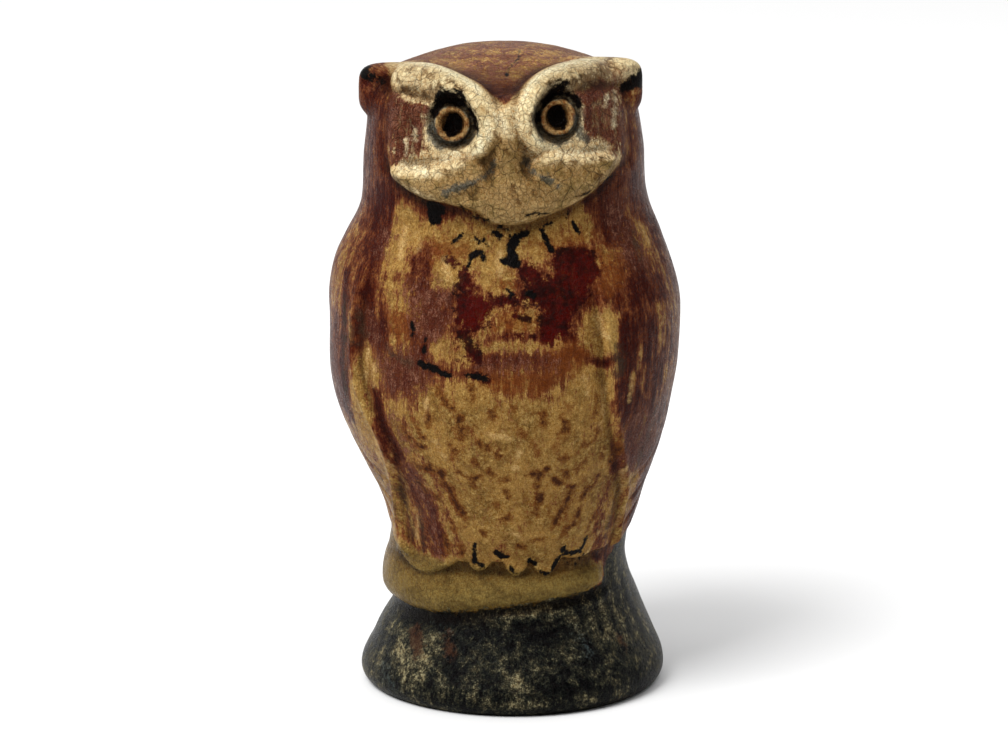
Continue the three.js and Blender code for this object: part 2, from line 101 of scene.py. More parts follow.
def step(a, b, v):
    """Smooth step from 0 at a to 1 at b: 3t^2 - 2t^3 of the clamped share t."""
    t = np.clip((v - a) / (b - a), 0, 1)
    return t * t * (3 - 2 * t)


def bell(distance, half):
    """Bell curve: e to the minus square of distance over half width."""
    return np.exp(-((distance / half) ** 2))


def spline(at, knots, rows):
    """Natural cubic spline through the rows: their second slopes solve the three-term
    equations between neighbours, and each stretch is the cubic that has them at its ends."""
    gap = np.diff(knots)[:, None]
    inner = np.arange(1, len(knots) - 1)
    terms = np.eye(len(knots))
    terms[inner, inner - 1] = gap[:-1, 0]
    terms[inner, inner] = 2 * (gap[:-1, 0] + gap[1:, 0])
    terms[inner, inner + 1] = gap[1:, 0]
    turns = np.zeros_like(rows)
    turns[1:-1] = 6 * np.diff(np.diff(rows, axis=0) / gap, axis=0)
    bend = np.linalg.solve(terms, turns)
    i = np.clip(np.searchsorted(knots, at, side="right") - 1, 0, len(knots) - 2)
    b = (at - knots[i])[:, None] / gap[i]
    a = 1 - b
    return (a * rows[i] + b * rows[i + 1]
            + ((a**3 - a) * bend[i] + (b**3 - b) * bend[i + 1]) * gap[i] ** 2 / 6)


def body(s, phi):
    """Plain body at distance s up the outline and angle phi: a superellipse round the middle,
    whose depth passes smoothly from the back's to the front's with the cosine of the angle."""
    z, wide, front, back, x, y, square = spline(np.clip(s, 0, LENGTH), knots, stations).T
    sin, cos = np.sin(phi), np.cos(phi)
    depth = back + (front - back) * step(-1, 1, cos)
    r = (abs(sin) ** square + abs(cos) ** square) ** (-1 / square)
    return np.stack([x + wide * r * sin, y - depth * r * cos, z], axis=-1)


def body_normal(s, phi):
    """Outward normal: the cross product of the slopes round and up the body."""
    up = body(s + 0.4, phi) - body(s - 0.4, phi)
    around = body(s, phi + 0.004) - body(s, phi - 0.004)
    normal = np.cross(around, up)
    size = np.linalg.norm(normal, axis=1, keepdims=True)
    return np.where(size > 1e-7, normal / np.maximum(size, 1e-7), [0, 0, 1])


def spaced(length, spacing):
    """Places from 0 to length whose gaps follow spacing: equal steps of the summed 1 / spacing."""
    fine = np.linspace(0, length, 4001)
    total = np.concatenate([[0], np.cumsum(np.diff(fine) / spacing((fine[1:] + fine[:-1]) / 2))])
    return np.interp(np.linspace(0, total[-1], int(total[-1]) + 1), total, fine)


def row_gap(s):
    """Gap between rows of the mesh, finest over the face."""
    z = spline(s, knots, stations)[:, 0]
    face = step(182, 188, z) * step(249, 244, z)
    return 0.98 - 0.4 * face


def column_gap(degrees):
    """Gap between columns in degrees, finest over the front."""
    away = abs(degrees - 180)
    return 0.8 + 1.7 * step(72, 100, away)


rows = spaced(LENGTH, row_gap)[:-1]
columns = spaced(360, column_gap)[:-1] - 180
s = np.repeat(rows, len(columns))
degrees = np.tile(columns, len(rows))
phi = np.radians(degrees)
plain = body(s, phi)
normal = body_normal(s, phi)

# The facial disc: coils and pads of clay laid on the front of the head and smoothed in, with
# thick brows that curl under the eyes, and eyes pressed in with a rounded stick.
EYE_HEIGHT, EYE_SPREAD, HEAD_TILT, CHIN = 227, 39.6, 2.4, 189
EYES = [(side * EYE_SPREAD / 2 + 0.4, EYE_HEIGHT + side * HEAD_TILT / 2) for side in (-1, 1)]
PUPIL, RIM, SOCKET = 4.4, 5.8, 10.4
BROWS = [
    [(-35, 240.2), (-29.5, 240.7), (-23.5, 239.8), (-17, 237.4), (-11, 234), (-6.8, 229),
     (-5.8, 222.8), (-8.8, 217.4), (-14.5, 214)],
    [(39, 240.5), (33, 241.5), (26, 241.6), (19, 240.3), (13, 237), (9.2, 231.6),
     (8.8, 225.2), (12, 219.8), (17.8, 216.4)],
]
CHEEKS = [
    [(-41, 207.6), (-34.8, 209.6), (-27, 211.3), (-19, 213.2), (-12, 213.6), (-7, 210.4),
     (-7.2, 205.2), (-13, 200.4), (-20.5, 197.4), (-29.3, 198.8), (-37.2, 202.7)],
    [(41.5, 211.8), (36.2, 214.6), (29, 214.6), (22, 215.4), (15.5, 215.6), (9.8, 212.6),
     (9, 207.6), (13, 201.4), (20, 197.6), (28.2, 198.9), (36.8, 205)],
]
MUZZLE = [
    (-2.6, 234), (4.4, 234), (6, 225), (6.8, 216), (9.4, 208), (16, 200.6), (24, 196.4),
    (15.6, 192.2), (5.9, CHIN + 0.2), (-3, CHIN + 0.4), (-9.2, 192.8), (-20, 196.4),
    (-13.2, 200.6), (-6.4, 207.5), (-4.4, 216.6), (-4, 225.9),
]
DISC = [
    (-42.5, 238), (-38, 244), (-24, 243), (-12, 238), (0, 234), (13, 240), (27, 245), (41, 244),
    (45.5, 238), (46, 225), (45, 214), (41.5, 208.6), (35.6, 202.6), (27.1, 196.6), (15.6, 191.8),
    (5.9, CHIN - 0.2), (-4.4, CHIN + 0.2), (-10, 193.4), (-20, 196.2), (-29.3, 197.6),
    (-37.2, 201.6), (-41.8, 206), (-43.6, 215), (-44, 227),
]
TEMPLES = [(-33, 224), (36.5, 226)]
STREAKS = [
    [(-2.6, 213), (-5.6, 207.6), (-12, 203), (-21.5, 199.2)],
    [(6.2, 213.5), (9.6, 208.4), (14.6, 204.4), (20.6, 201.2)],
]
SIDE_GROOVES = [
    [(-43.4, 238), (-44.6, 226), (-44.6, 213), (-43.4, 204)],
    [(45.6, 238), (46.8, 226), (47.4, 214), (45.6, 206)],
]
EARS = [((-37.5, -13, 234.2), (17.2, 9, 10)), ((36, -13, 236), (16.2, 9, 10.2))]
# From, to, depth, half width
EAR_HOLLOWS = [((-50.5, 237.8), (-43.5, 237.4), 2.4, 2.8), ((50, 241.4), (44.5, 235), 1.8, 2.4)]


def bent(points, closed=False, pieces=4):
    """Smooth line through points: on each stretch the Catmull-Rom cubic of its four neighbours."""
    p = np.array(points, float)
    if closed:
        p = np.vstack([p[-1:], p, p[:2]])
    else:
        p = np.vstack([2 * p[:1] - p[1:2], p, 2 * p[-1:] - p[-2:-1]])
    a, b, c, d = (p[k:len(p) - 3 + k, None] for k in range(4))
    t = (np.arange(pieces) / pieces)[None, :, None]
    cubic = b + t * ((c - a) / 2 + t * (a - 2.5 * b + 2 * c - d / 2 + t * (1.5 * (b - c) + (d - a) / 2)))
    return np.vstack([cubic.reshape(-1, p.shape[1]), p[-2:-1]])


def nearest(points, line):
    """Distance from points to a line of straight stretches, and the share of its length where
    it is nearest: each point is dropped on every stretch, and the shortest drop is kept."""
    best = np.full(len(points), np.inf)
    share = np.zeros(len(points))
    for i in range(len(line) - 1):
        along = line[i + 1] - line[i]
        t = np.clip((points - line[i]) @ along / (along @ along + 1e-12), 0, 1)
        distance = np.linalg.norm(points - line[i] - t[:, None] * along, axis=1)
        closer = distance < best
        best[closer] = distance[closer]
        share[closer] = (i + t[closer]) / (len(line) - 1)
    return best, share


def inside(points, line):
    """Distance inside a closed flat line, negative outside: the sign is from the number of
    times a level ray from the point crosses the line."""
    a, b = line[:-1, None], line[1:, None]
    x, z = points.T
    rise = np.where(b[..., 1] == a[..., 1], 1, b[..., 1] - a[..., 1])
    ray = (b[..., 0] - a[..., 0]) * (z - a[..., 1]) / rise + a[..., 0]
    crossed = ((a[..., 1] > z) != (b[..., 1] > z)) & (x < ray)
    return np.where(crossed.sum(axis=0) % 2 == 1, 1, -1) * nearest(points, line)[0]


def on_body(points):
    """Points of the plain body at angles and heights: the height gives the distance up the
    outline, and the angle goes round it."""
    angles, heights = np.array(points, float).T
    fine = np.linspace(0, LENGTH, 2000)
    return body(np.interp(heights, spline(fine, knots, stations)[:, 0], fine), np.radians(angles))


def on_front(points):
    """Points on the front of the plain body at x and z: the angle is looked up by its x."""
    turns = np.linspace(-90, 90, 721)
    angles = []
    for x, z in points:
        angles.append(np.interp(x, on_body([(turn, z) for turn in turns])[:, 0], turns))
    return on_body(np.column_stack([angles, [z for _, z in points]]))


front = step(-0.05, 0.25, np.cos(phi))
near = (front > 0) & (plain[:, 2] > 176)
flat = plain[near][:, [0, 2]]
z = flat[:, 1]

disc = inside(flat, bent(DISC, closed=True))
chin = step(212, 203, z)
face = 3 * step(-1, 1.6, disc) * chin + 1.2 * step(-3, 3, disc) * (1 - chin)
for x0, z0 in TEMPLES:
    face -= 2.8 * bell(np.hypot(flat[:, 0] - x0, (z - z0) / 1.15), 9)
ledge = step(203, 210, z)
cheeks = np.full(len(flat), -np.inf)
for points in CHEEKS:
    pad = inside(flat, bent(points, closed=True))
    cheeks = np.maximum(cheeks, pad)
    face += 3.2 * step(-2.6 + 1.2 * ledge, 4.6 - 1.6 * ledge, pad)
muzzle = inside(flat, bent(MUZZLE, closed=True))
face += 3 * step(-3, 6.5, muzzle)
streaks = np.full(len(flat), np.inf)
for points in STREAKS:
    distance, share = nearest(flat, bent(points))
    face -= 0.4 * bell(distance, 2.2) * step(0, 0.15, share) * step(1, 0.8, share)
    streaks = np.minimum(streaks, distance + 4 * step(0.2, 0, share) + 4 * step(0.8, 1, share))
for points in SIDE_GROOVES:
    distance, share = nearest(flat, bent(points))
    face -= 1.1 * bell(distance, 2.4) * step(0, 0.12, share) * step(1, 0.88, share)
face -= 1.8 * step(0, 5, z - 234.5 - 0.42 * abs(flat[:, 0] - 1)) * step(248.5, 242, z)

# Rolls of the brows: full round on top with a short soft foot, slimmer past the eye
brows = np.zeros(len(flat))
brow_reach = np.full(len(flat), np.inf)
brow_share = np.zeros(len(flat))
for side, points in enumerate(BROWS):
    distance, share = nearest(plain[near], on_front(bent(points, pieces=3)))
    inner = step(0.42, 0.72, share)
    t = distance / (5.9 - 2.7 * inner)
    height = (5 - 2.2 * inner) * (1 - 0.8 * step(0.85, 1, share))
    if side == 1:
        height *= 0.55 + 0.45 * step(0, 0.18, share)
    brows += height * np.where(t < 1, np.sqrt(np.maximum(1 - 0.8 * t * t, 0)),
                               0.447 * np.clip(1 - (t - 1) / 0.35, 0, 1))
    brow_share = np.where(t < brow_reach, share, brow_share)
    brow_reach = np.minimum(brow_reach, t)

# Sunk eyeballs with a thick rim and a pressed pupil
eye_reach = np.min([np.hypot(flat[:, 0] - x0, z - z0) for x0, z0 in EYES], axis=0)
eyeball = -2.8 + 2 * bell(eye_reach - RIM, 1.5) - 3 * step(PUPIL + 0.7, PUPIL - 0.9, eye_reach)
eye = step(SOCKET, SOCKET - 2.2, eye_reach)

forward = normal[near] * [1, 1, 0.3] - [0, 0.45, 0]
forward /= np.linalg.norm(forward, axis=1, keepdims=True)
pushed = forward * (face * (1 - eye) + eyeball * eye)[:, None]
pushed += normal[near] * (brows * (1 - eye))[:, None]

# The wings, the hem of the breast, the roll of clay over the foot and the tail: pulled up from
# the body's own clay and cut in with a wooden tool.
WING_FRONT_LEFT = [(50, 43), (56, 48), (66, 54.4), (78, 55), (92, 48.4), (105, 46.4), (116, 49.5),
                   (127, 53), (139, 54.7), (175, 50)]
WING_FRONT_RIGHT = [(50, 58), (58, 57.5), (70, 55.3), (83, 52), (95, 46), (110, 39.5),
                    (125, 35.7), (138, 33.8), (150, 32.6), (175, 30)]
WING_LOW = [(40, 56.5), (57, 59), (68, 64), (80, 72), (95, 80), (112, 84), (130, 82), (148, 75),
            (165, 67), (180, 63)]
# Rounded feather ends of the hem: angle, half width in degrees, drop
LOBES = [(-41, 17, 5.5), (-13.4, 5.6, 3.6), (3.9, 6.4, 5.6), (17.6, 7.2, 6.4), (33, 7, 1.5)]
HEM, ROLL_TOP, FOOT_TOP = 58.5, 54, 33
ROLL_LOW = [(-110, FOOT_TOP + 0.5), (-67, FOOT_TOP + 1.6), (-41, FOOT_TOP + 1.6), (-22, 36.8),
            (-5, 39), (14, 40.9), (30, 42), (50, 44)]
LEDGE = [(-12, 34.6), (4, 35.3), (23, 36), (41, 38.1), (60, 41)]
TAIL_ANGLE, TAIL_HALF, TAIL_FOOT = 172, 30, 10.5
QUILLS = [(9, 0.7), (19, 0.6), (30, 0.45)]


def curve(x, points):
    """Smooth curve through points, level at both ends: on each stretch the cubic whose slopes
    at the ends are the weighted means of the neighbouring slopes."""
    px, py = np.array(points, float).T
    gap = np.diff(px)
    rise = np.diff(py) / gap
    slope = np.zeros(len(px))
    slope[1:-1] = (rise[:-1] * gap[1:] + rise[1:] * gap[:-1]) / (gap[:-1] + gap[1:])
    x = np.clip(x, px[0], px[-1])
    i = np.clip(np.searchsorted(px, x, side="right") - 1, 0, len(px) - 2)
    t = (x - px[i]) / gap[i]
    u = 1 - t
    return ((1 + 2 * t) * u * u * py[i] + t * u * u * gap[i] * slope[i]
            + t * t * (3 - 2 * t) * py[i + 1] - t * t * u * gap[i] * slope[i + 1])


x, y, z = plain.T
radius = np.hypot(x, y)
away = abs(degrees)
shoulder = 1 - step(150, 178, z)
wing_front = np.where(degrees < 0, curve(z, WING_FRONT_LEFT), curve(z, WING_FRONT_RIGHT))
wing_past = (away - wing_front) * np.radians(radius)
wing_above = z - curve(away, WING_LOW)
relief = 2.2 * step(-1.4, 2.2, wing_past) * step(-1.4, 1.8, wing_above) * shoulder
relief += 0.5 * bell(wing_past - 2.2, 1.8) * shoulder * step(-1, 1, wing_above)
for up, depth in QUILLS:
    groove = bell(wing_above - up - 0.07 * (away - 60), 1.4)
    relief -= depth * groove * step(1, 5, wing_past) * step(150, 120, away) * shoulder

hem = HEM + 0.035 * np.clip(degrees, -90, 90)
for angle, half, drop in LOBES:
    hem -= drop * np.clip(1 - ((degrees - angle) / half) ** 2, 0, 1)
breast = step(-70, -58, degrees) * step(58, 46, degrees)
relief += 1.9 * breast * step(-0.7, 0.9, z - hem) * step(HEM + 30, HEM + 8, z)

roll_low = curve(degrees, ROLL_LOW)
roll_up = (z - roll_low) / (ROLL_TOP - roll_low)
below = np.clip((0.34 - roll_up) / 0.34, 0, 1)
over = np.clip((roll_up - 0.34) / 0.66, 0, 1)
roll = (np.sqrt(1 - below**2) - 0.8 * over**1.6) * step(1.35, 1, roll_up) * (roll_up > 0)
relief += 4.4 * roll * step(-118, -96, degrees) * step(56, 42, degrees)
relief += (0.8 * bell(z - curve(degrees, LEDGE), 1.6)
           * step(-16, -6, degrees) * step(62, 48, degrees))

tail_turn = (degrees - TAIL_ANGLE + 540) % 360 - 180
across = np.radians(tail_turn) * radius
tail_half = TAIL_HALF - 9 * step(15, 100, z)
relief += 7 * bell(z - 30, 16) * bell(tail_turn, 62)
tail = (step(-1.5, 2, tail_half - abs(across)) * step(TAIL_FOOT, TAIL_FOOT + 3.5, z)
        * step(0.5, -2, wing_above))
relief += 2.8 * tail
for share in (-0.7, -0.36, 0, 0.36, 0.7):
    relief -= 0.8 * tail * bell(across - share * tail_half, 1.2)

skin = plain + normal * (relief * step(0, 6, z))[:, None]
skin[near] += pushed * front[near, None]
for middle, half in EARS:
    # Everything inside the knob is pushed out on to it, with a soft fillet round it
    v = (skin - middle) / half
    size = np.sqrt(np.sqrt(v[:, 0] ** 4 + v[:, 2] ** 4) + v[:, 1] ** 2)
    g = np.clip(0.5 + 0.5 * (size - 1) / 0.3, 0, 1)
    grown = size * g + 1 - g + 0.3 * g * (1 - g)
    knob = middle + v * (grown / size)[:, None] * half
    skin = np.where((size < 1.3)[:, None], knob, skin)
for start, end, depth, half in EAR_HOLLOWS:
    distance, _ = nearest(skin[:, [0, 2]], np.array([start, end]))
    skin[:, 1] += depth * bell(distance, half) * ((skin[:, 1] < -6) & (skin[:, 2] > 222))


def lattice_noise(points, size, seed):
    """Smooth noise from -1 to 1: random values on a cubic lattice of that size, blended over
    each cell with the smooth step of the place in it."""
    values = np.random.default_rng(seed).uniform(-1, 1, (64, 64, 64))
    cell = points / size + 32
    corner = np.floor(cell).astype(int)
    t = cell - corner
    t = t * t * (3 - 2 * t)
    total = np.zeros(len(points))
    for i in range(2):
        for j in range(2):
            for k in range(2):
                weight = (np.where(i, t[:, 0], 1 - t[:, 0]) * np.where(j, t[:, 1], 1 - t[:, 1])
                          * np.where(k, t[:, 2], 1 - t[:, 2]))
                at = (corner + [i, j, k]) % 64
                total += weight * values[at[:, 0], at[:, 1], at[:, 2]]
    return total


# Hand pressure leaves the clay softly uneven, in dents a finger wide and finer tool marks
uneven = (0.3 * lattice_noise(skin, 17, 1) + 0.14 * lattice_noise(skin, 7, 2)
          + 0.05 * lattice_noise(skin * [1, 1, 0.5], 2.6, 3))
skin += normal * (uneven * step(1, 8, skin[:, 2]))[:, None]


def closed_mesh(name, grid, low, top, columns):
    """Mesh of a grid of closed rows, with a fan to one point below and one above."""
    count = len(grid) // columns
    i = np.arange(count - 1)[:, None] * columns
    j = np.arange(columns)
    k = (j + 1) % columns
    quads = np.stack(np.broadcast_arrays(i + j, i + k, i + columns + k, i + columns + j), axis=-1)
    last = (count - 1) * columns
    n = len(grid)
    fans = [np.stack([np.full(columns, n), k, j], axis=-1),
            np.stack([last + j, last + k, np.full(columns, n + 1)], axis=-1)]
    mesh = bpy.data.meshes.new(name)
    faces = quads.reshape(-1, 4).tolist() + fans[0].tolist() + fans[1].tolist()
    mesh.from_pydata(np.vstack([grid, [low], [top]]) / 1000, [], faces)
    mesh.polygons.foreach_set("use_smooth", np.ones(len(faces), bool))
    return mesh


underside = np.array([OUTLINE[0, 4], OUTLINE[0, 5], 0])
crown = np.array([0, OUTLINE[-1, 5], HEIGHT])
middle = (skin.min(axis=0) + skin.max(axis=0)) / 2 * [1, 1, 0]
low, high = (np.array(corner) * 1000 for corner in cad_box)
shell = np.clip(skin - middle, low, high)
mesh = closed_mesh("redware_owl_glazed", shell, underside - middle, crown - middle, len(columns))
owl = bpy.data.objects.new("glazed_owl", mesh)
bpy.context.scene.collection.objects.link(owl)
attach(owl, "root")
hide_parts("redware_owl")

# The painting: coloured slips brushed on by hand before glazing. Each slip has a field over the
# mesh that says how thickly it lies there. Strokes are half widths and then angles and heights
# on the body, or x and z on the face; on this body a degree of angle is close to a millimetre.
around = np.column_stack([degrees, plain[:, 2]])


def brushed(at, strokes, soft=2.5, low=0, high=1):
    """Cover of brush strokes: half at a stroke's edge, and rising or falling by one over each
    soft width. Where strokes cross, the thicker one counts."""
    cover = np.full(len(at), float(low))
    for half, *points in strokes:
        line = bent(points) if len(points) > 1 else np.array(points * 2, float)
        reach = half + (0.5 - low) * soft
        close = ((at > line.min(axis=0) - reach) & (at < line.max(axis=0) + reach)).all(axis=1)
        cover[close] = np.maximum(cover[close], 0.5 + (half - nearest(at[close], line)[0]) / soft)
    return np.clip(cover, low, high)


def filled(at, outline, soft=5, low=0, high=1):
    """Cover of a brushed-in area: half at its smooth outline, steeper for a smaller soft width."""
    return np.clip(0.5 + inside(at, bent(outline, closed=True)) / soft, low, high)


def over(field, value, cover):
    """Lays one slip value over a field where the cover is."""
    return field + (value - field) * cover


def on_face(values, outside=0.0):
    """Spreads values of the points near the face to the whole mesh."""
    field = np.full(len(plain), float(outside))
    field[near] = values
    return field


# How much brown wash lies over the buff ground, from 0 bare to 1 thick
WASHES = [
    # Value, soft edge, outline
    (0.92, 6, [(-62, 198), (-46, 198), (-43, 187), (-45, 176), (-53, 175), (-59, 184)]),
    (0.88, 6, [(-54, 164), (-42, 163), (-39, 148), (-45, 140), (-54, 146)]),
    (0.42, 9, [(-77, 188), (-63, 184), (-57, 168), (-58, 152), (-72, 150), (-84, 168)]),
    (0.3, 6, [(-43, 174), (-34, 173), (-32, 160), (-35, 150), (-42, 157)]),
    (0.08, 4, [(-44, 195), (-30, 189), (-24, 189), (-15, 191), (-3, 189), (8, 192), (20, 192), (29, 195),
               (34, 190), (34, 184), (31, 180), (23, 181), (16, 178), (12, 174), (5, 175), (4, 167), (0, 163),
               (-6, 163), (-9, 171), (-13, 174), (-20, 178), (-28, 181), (-33, 176), (-36, 169), (-43, 172)]),
    (0.05, 4, [(-23, 176), (-15, 178), (-13, 172), (-15, 166), (-22, 165), (-24, 170)]),
    (0.4, 6, [(-40, 157), (-32, 157), (-30, 146), (-38, 142)]),
    (0.18, 4, [(-6, 159), (-1, 160), (0, 153), (-4, 149), (-8, 146), (-13, 142), (-10, 139), (-17, 137),
               (-24, 139), (-25, 146), (-19, 148), (-12, 148), (-7, 152)]),
    (0.34, 4, [(-2, 158), (10, 159), (11, 151), (-2, 151)]),
    (0.15, 3, [(-8, 147), (10, 146.6), (20, 146), (22, 143.4), (8, 142.8), (-8, 143)]),
    (0.02, 5, [(26, 153), (30, 157.5), (35, 157), (39.5, 152), (39, 146), (36, 141), (32, 139), (28, 141),
               (25, 146)]),
    (0.55, 5, [(-10, 137), (14, 138), (23, 142), (28, 138), (23, 131), (15, 126), (0, 127), (-9, 131)]),
    (0.4, 8, [(54, 190), (64, 187), (69, 172), (61, 164), (55, 172)]),
    (0.85, 6, [(36, 197), (48, 196), (53, 186), (44, 183), (37, 186)]),
    (0.36, 6, [(35, 182), (44, 177), (42, 168), (33, 169), (32, 177)]),
    (0.8, 6, [(42, 171), (60, 168), (64, 158), (50, 152), (42, 157)]),
    (0.48, 9, [(60, 152), (72, 160), (84, 150), (80, 118), (64, 124), (60, 140)]),
    (0.95, 4, [(38, 151), (49, 151), (48, 132), (45, 116), (39.5, 114), (38.5, 130)]),
    (0.3, 4, [(55, 156), (62, 156), (63, 149), (57, 148)]),
    (0.7, 6, [(43, 116), (60, 120), (66, 104), (58, 92), (47, 92), (42, 104)]),
    (0.28, 6, [(45, 90), (60, 92), (62, 62), (46, 60), (42, 76)]),
    (0.02, 7, [(-28, 128), (-20, 132), (-8, 131), (0, 127), (14, 126), (20, 131), (27, 139), (34, 138),
               (38, 134), (39, 124), (39.5, 112), (43, 103), (43, 90), (40, 78), (40, 64), (38, 54),
               (-24, 54), (-28, 62), (-31, 72), (-33, 82), (-36, 90), (-40, 98), (-43, 106), (-44, 115),
               (-40, 122), (-33, 124)]),
    (0.06, 4, [(-49.5, 142.5), (-45, 137), (-44, 128), (-47, 118), (-49, 108), (-50, 98), (-54, 90),
               (-63, 95), (-67, 108), (-60, 118), (-57, 128), (-54, 137)]),
    (0.26, 9, [(-52, 99), (-47, 88), (-46, 74), (-48, 60), (-80, 60), (-92, 95), (-74, 112), (-63, 104)]),
    (0.66, 4, [(-48, 127), (-43, 120), (-42, 108), (-39, 98), (-35, 88), (-34, 78), (-30, 68), (-27, 60),
               (-40, 57), (-43, 70), (-44, 82), (-45, 92), (-48, 105), (-48.5, 116)]),
]
WASH_STROKES = [
    # Value, soft edge, strokes
    (1.0, 3, [
        (2, (-62, 166), (-61, 148), (-62, 130), (-63, 112)), (1.2, (-50, 176), (-49, 166), (-49, 158)),
        (1.4, (40, 150), (40, 138), (39.5, 120)), (1.1, (43.5, 134), (42.5, 112)), (1.3, (48, 128), (46, 104)),
        (1.2, (53, 150), (51, 138), (51, 126)), (1.1, (42, 104), (44, 94)), (1, (56, 132), (55, 112)),
        (1.2, (-31.5, 153), (-31, 147)), (1, (-25.5, 172), (-26, 165)), (0.8, (-26, 147), (-27, 141)),
        (0.9, (-42, 150), (-41.5, 143)), (1, (60, 138), (61, 122)), (1.3, (22, 142.5), (28, 138.6), (34, 137)),
        (0.9, (-55, 150), (-55, 140)), (1.2, (-46, 124), (-45, 112), (-42, 100)), (1.1, (-37, 88), (-36, 76)),
        (1, (-34, 72), (-32, 62)), (0.9, (-70, 150), (-71, 132)), (0.9, (66, 150), (67, 134))]),
    (0.55, 4, [
        (1.6, (-36, 114), (-34, 106)), (1.4, (-31, 126), (-30, 118)), (1.6, (-33, 100), (-29, 93)),
        (1.6, (-27, 96), (-25, 88), (-23, 80)), (1.4, (-30, 88), (-28, 76)), (1.6, (-26, 70), (-24, 62))]),
    (0.12, 2.5, [
        (0.7, (44.5, 132), (44, 124)), (0.8, (47, 142), (46.5, 134)), (0.7, (49.5, 134), (49, 124)),
        (0.9, (60, 150), (61, 140)), (0.7, (53.5, 114), (52.5, 104)), (0.8, (-69, 172), (-68, 160)),
        (0.9, (-57.5, 152), (-57, 142)), (0.7, (-66, 168), (-66, 156)), (0.8, (60, 184), (61, 178)),
        (0.9, (56.5, 184), (58, 178)), (0.7, (-39, 168), (-38.5, 158)), (0.7, (-35, 166), (-34.5, 157)),
        (0.7, (57, 146), (57, 138)), (0.6, (-45, 162), (-44.5, 152)), (0.6, (65, 172), (66, 160)),
        (0.6, (70, 168), (72, 154)), (0.7, (63, 132), (62, 120)), (0.7, (-75, 160), (-77, 146))]),
]
brown = 0.72 + 0.08 * lattice_noise(skin, 24, 5)
for value, soft, outline in WASHES:
    brown = over(brown, value, filled(around, outline, soft))
for value, soft, strokes in WASH_STROKES:
    brown = over(brown, value, brushed(around, strokes, soft))

# The other slips, with painted highlights and painted shade: areas and strokes on the body, each with its soft edge
AREAS = {
    "mauve": (8, [
        [(40, 196), (50, 194), (55, 182), (52, 170), (46, 172), (41, 184)],
        [(-53, 155), (-46, 154), (-44, 143), (-52, 142)],
        [(-44, 141), (-27, 142), (-25, 130), (-34, 124), (-44, 130)],
        [(-32, 166), (-19, 166), (-17, 154), (-24, 144), (-32, 150)],
        [(-50, 184), (-44, 186), (-43, 176), (-50, 176)],
        [(-7, 142), (14, 142), (17, 137), (-6, 136)],
        [(44, 114), (58, 116), (62, 100), (52, 90), (44, 98)],
    ]),
    "rust": (6, [
        [(-28, 184), (-14, 183), (-12, 176), (-24, 172)], [(11, 184), (32, 186), (33, 180), (12, 178)],
        [(-2, 158), (12, 158), (11, 150), (-3, 150)], [(13, 145), (26, 146), (27, 134), (13, 132)],
        [(-8, 136), (14, 136), (14, 126), (-8, 128)], [(-40, 157), (-31, 157), (-31, 146), (-39, 143)],
        [(33, 180), (43, 176), (42, 164), (31, 162)], [(2, 171), (-5, 166), (4, 164)],
    ]),
    "oxblood": (5, [
        [(17, 177), (22, 179.5), (28, 178.5), (33, 176), (33, 170), (29, 166), (28, 160), (24, 157),
         (21, 150), (19, 146.5), (12, 146.5), (11, 152), (11, 158), (8, 160), (0, 160), (-5, 158.5),
         (-6, 162), (0, 163.5), (5, 164), (8, 166), (5.5, 170), (6, 173.5), (9, 175), (11.5, 173),
         (13, 170), (16, 171)],
        [(-16, 163), (-9, 164), (-4, 161), (-4, 156), (-7, 151.5), (-13, 150), (-15.5, 153)],
    ]),
}
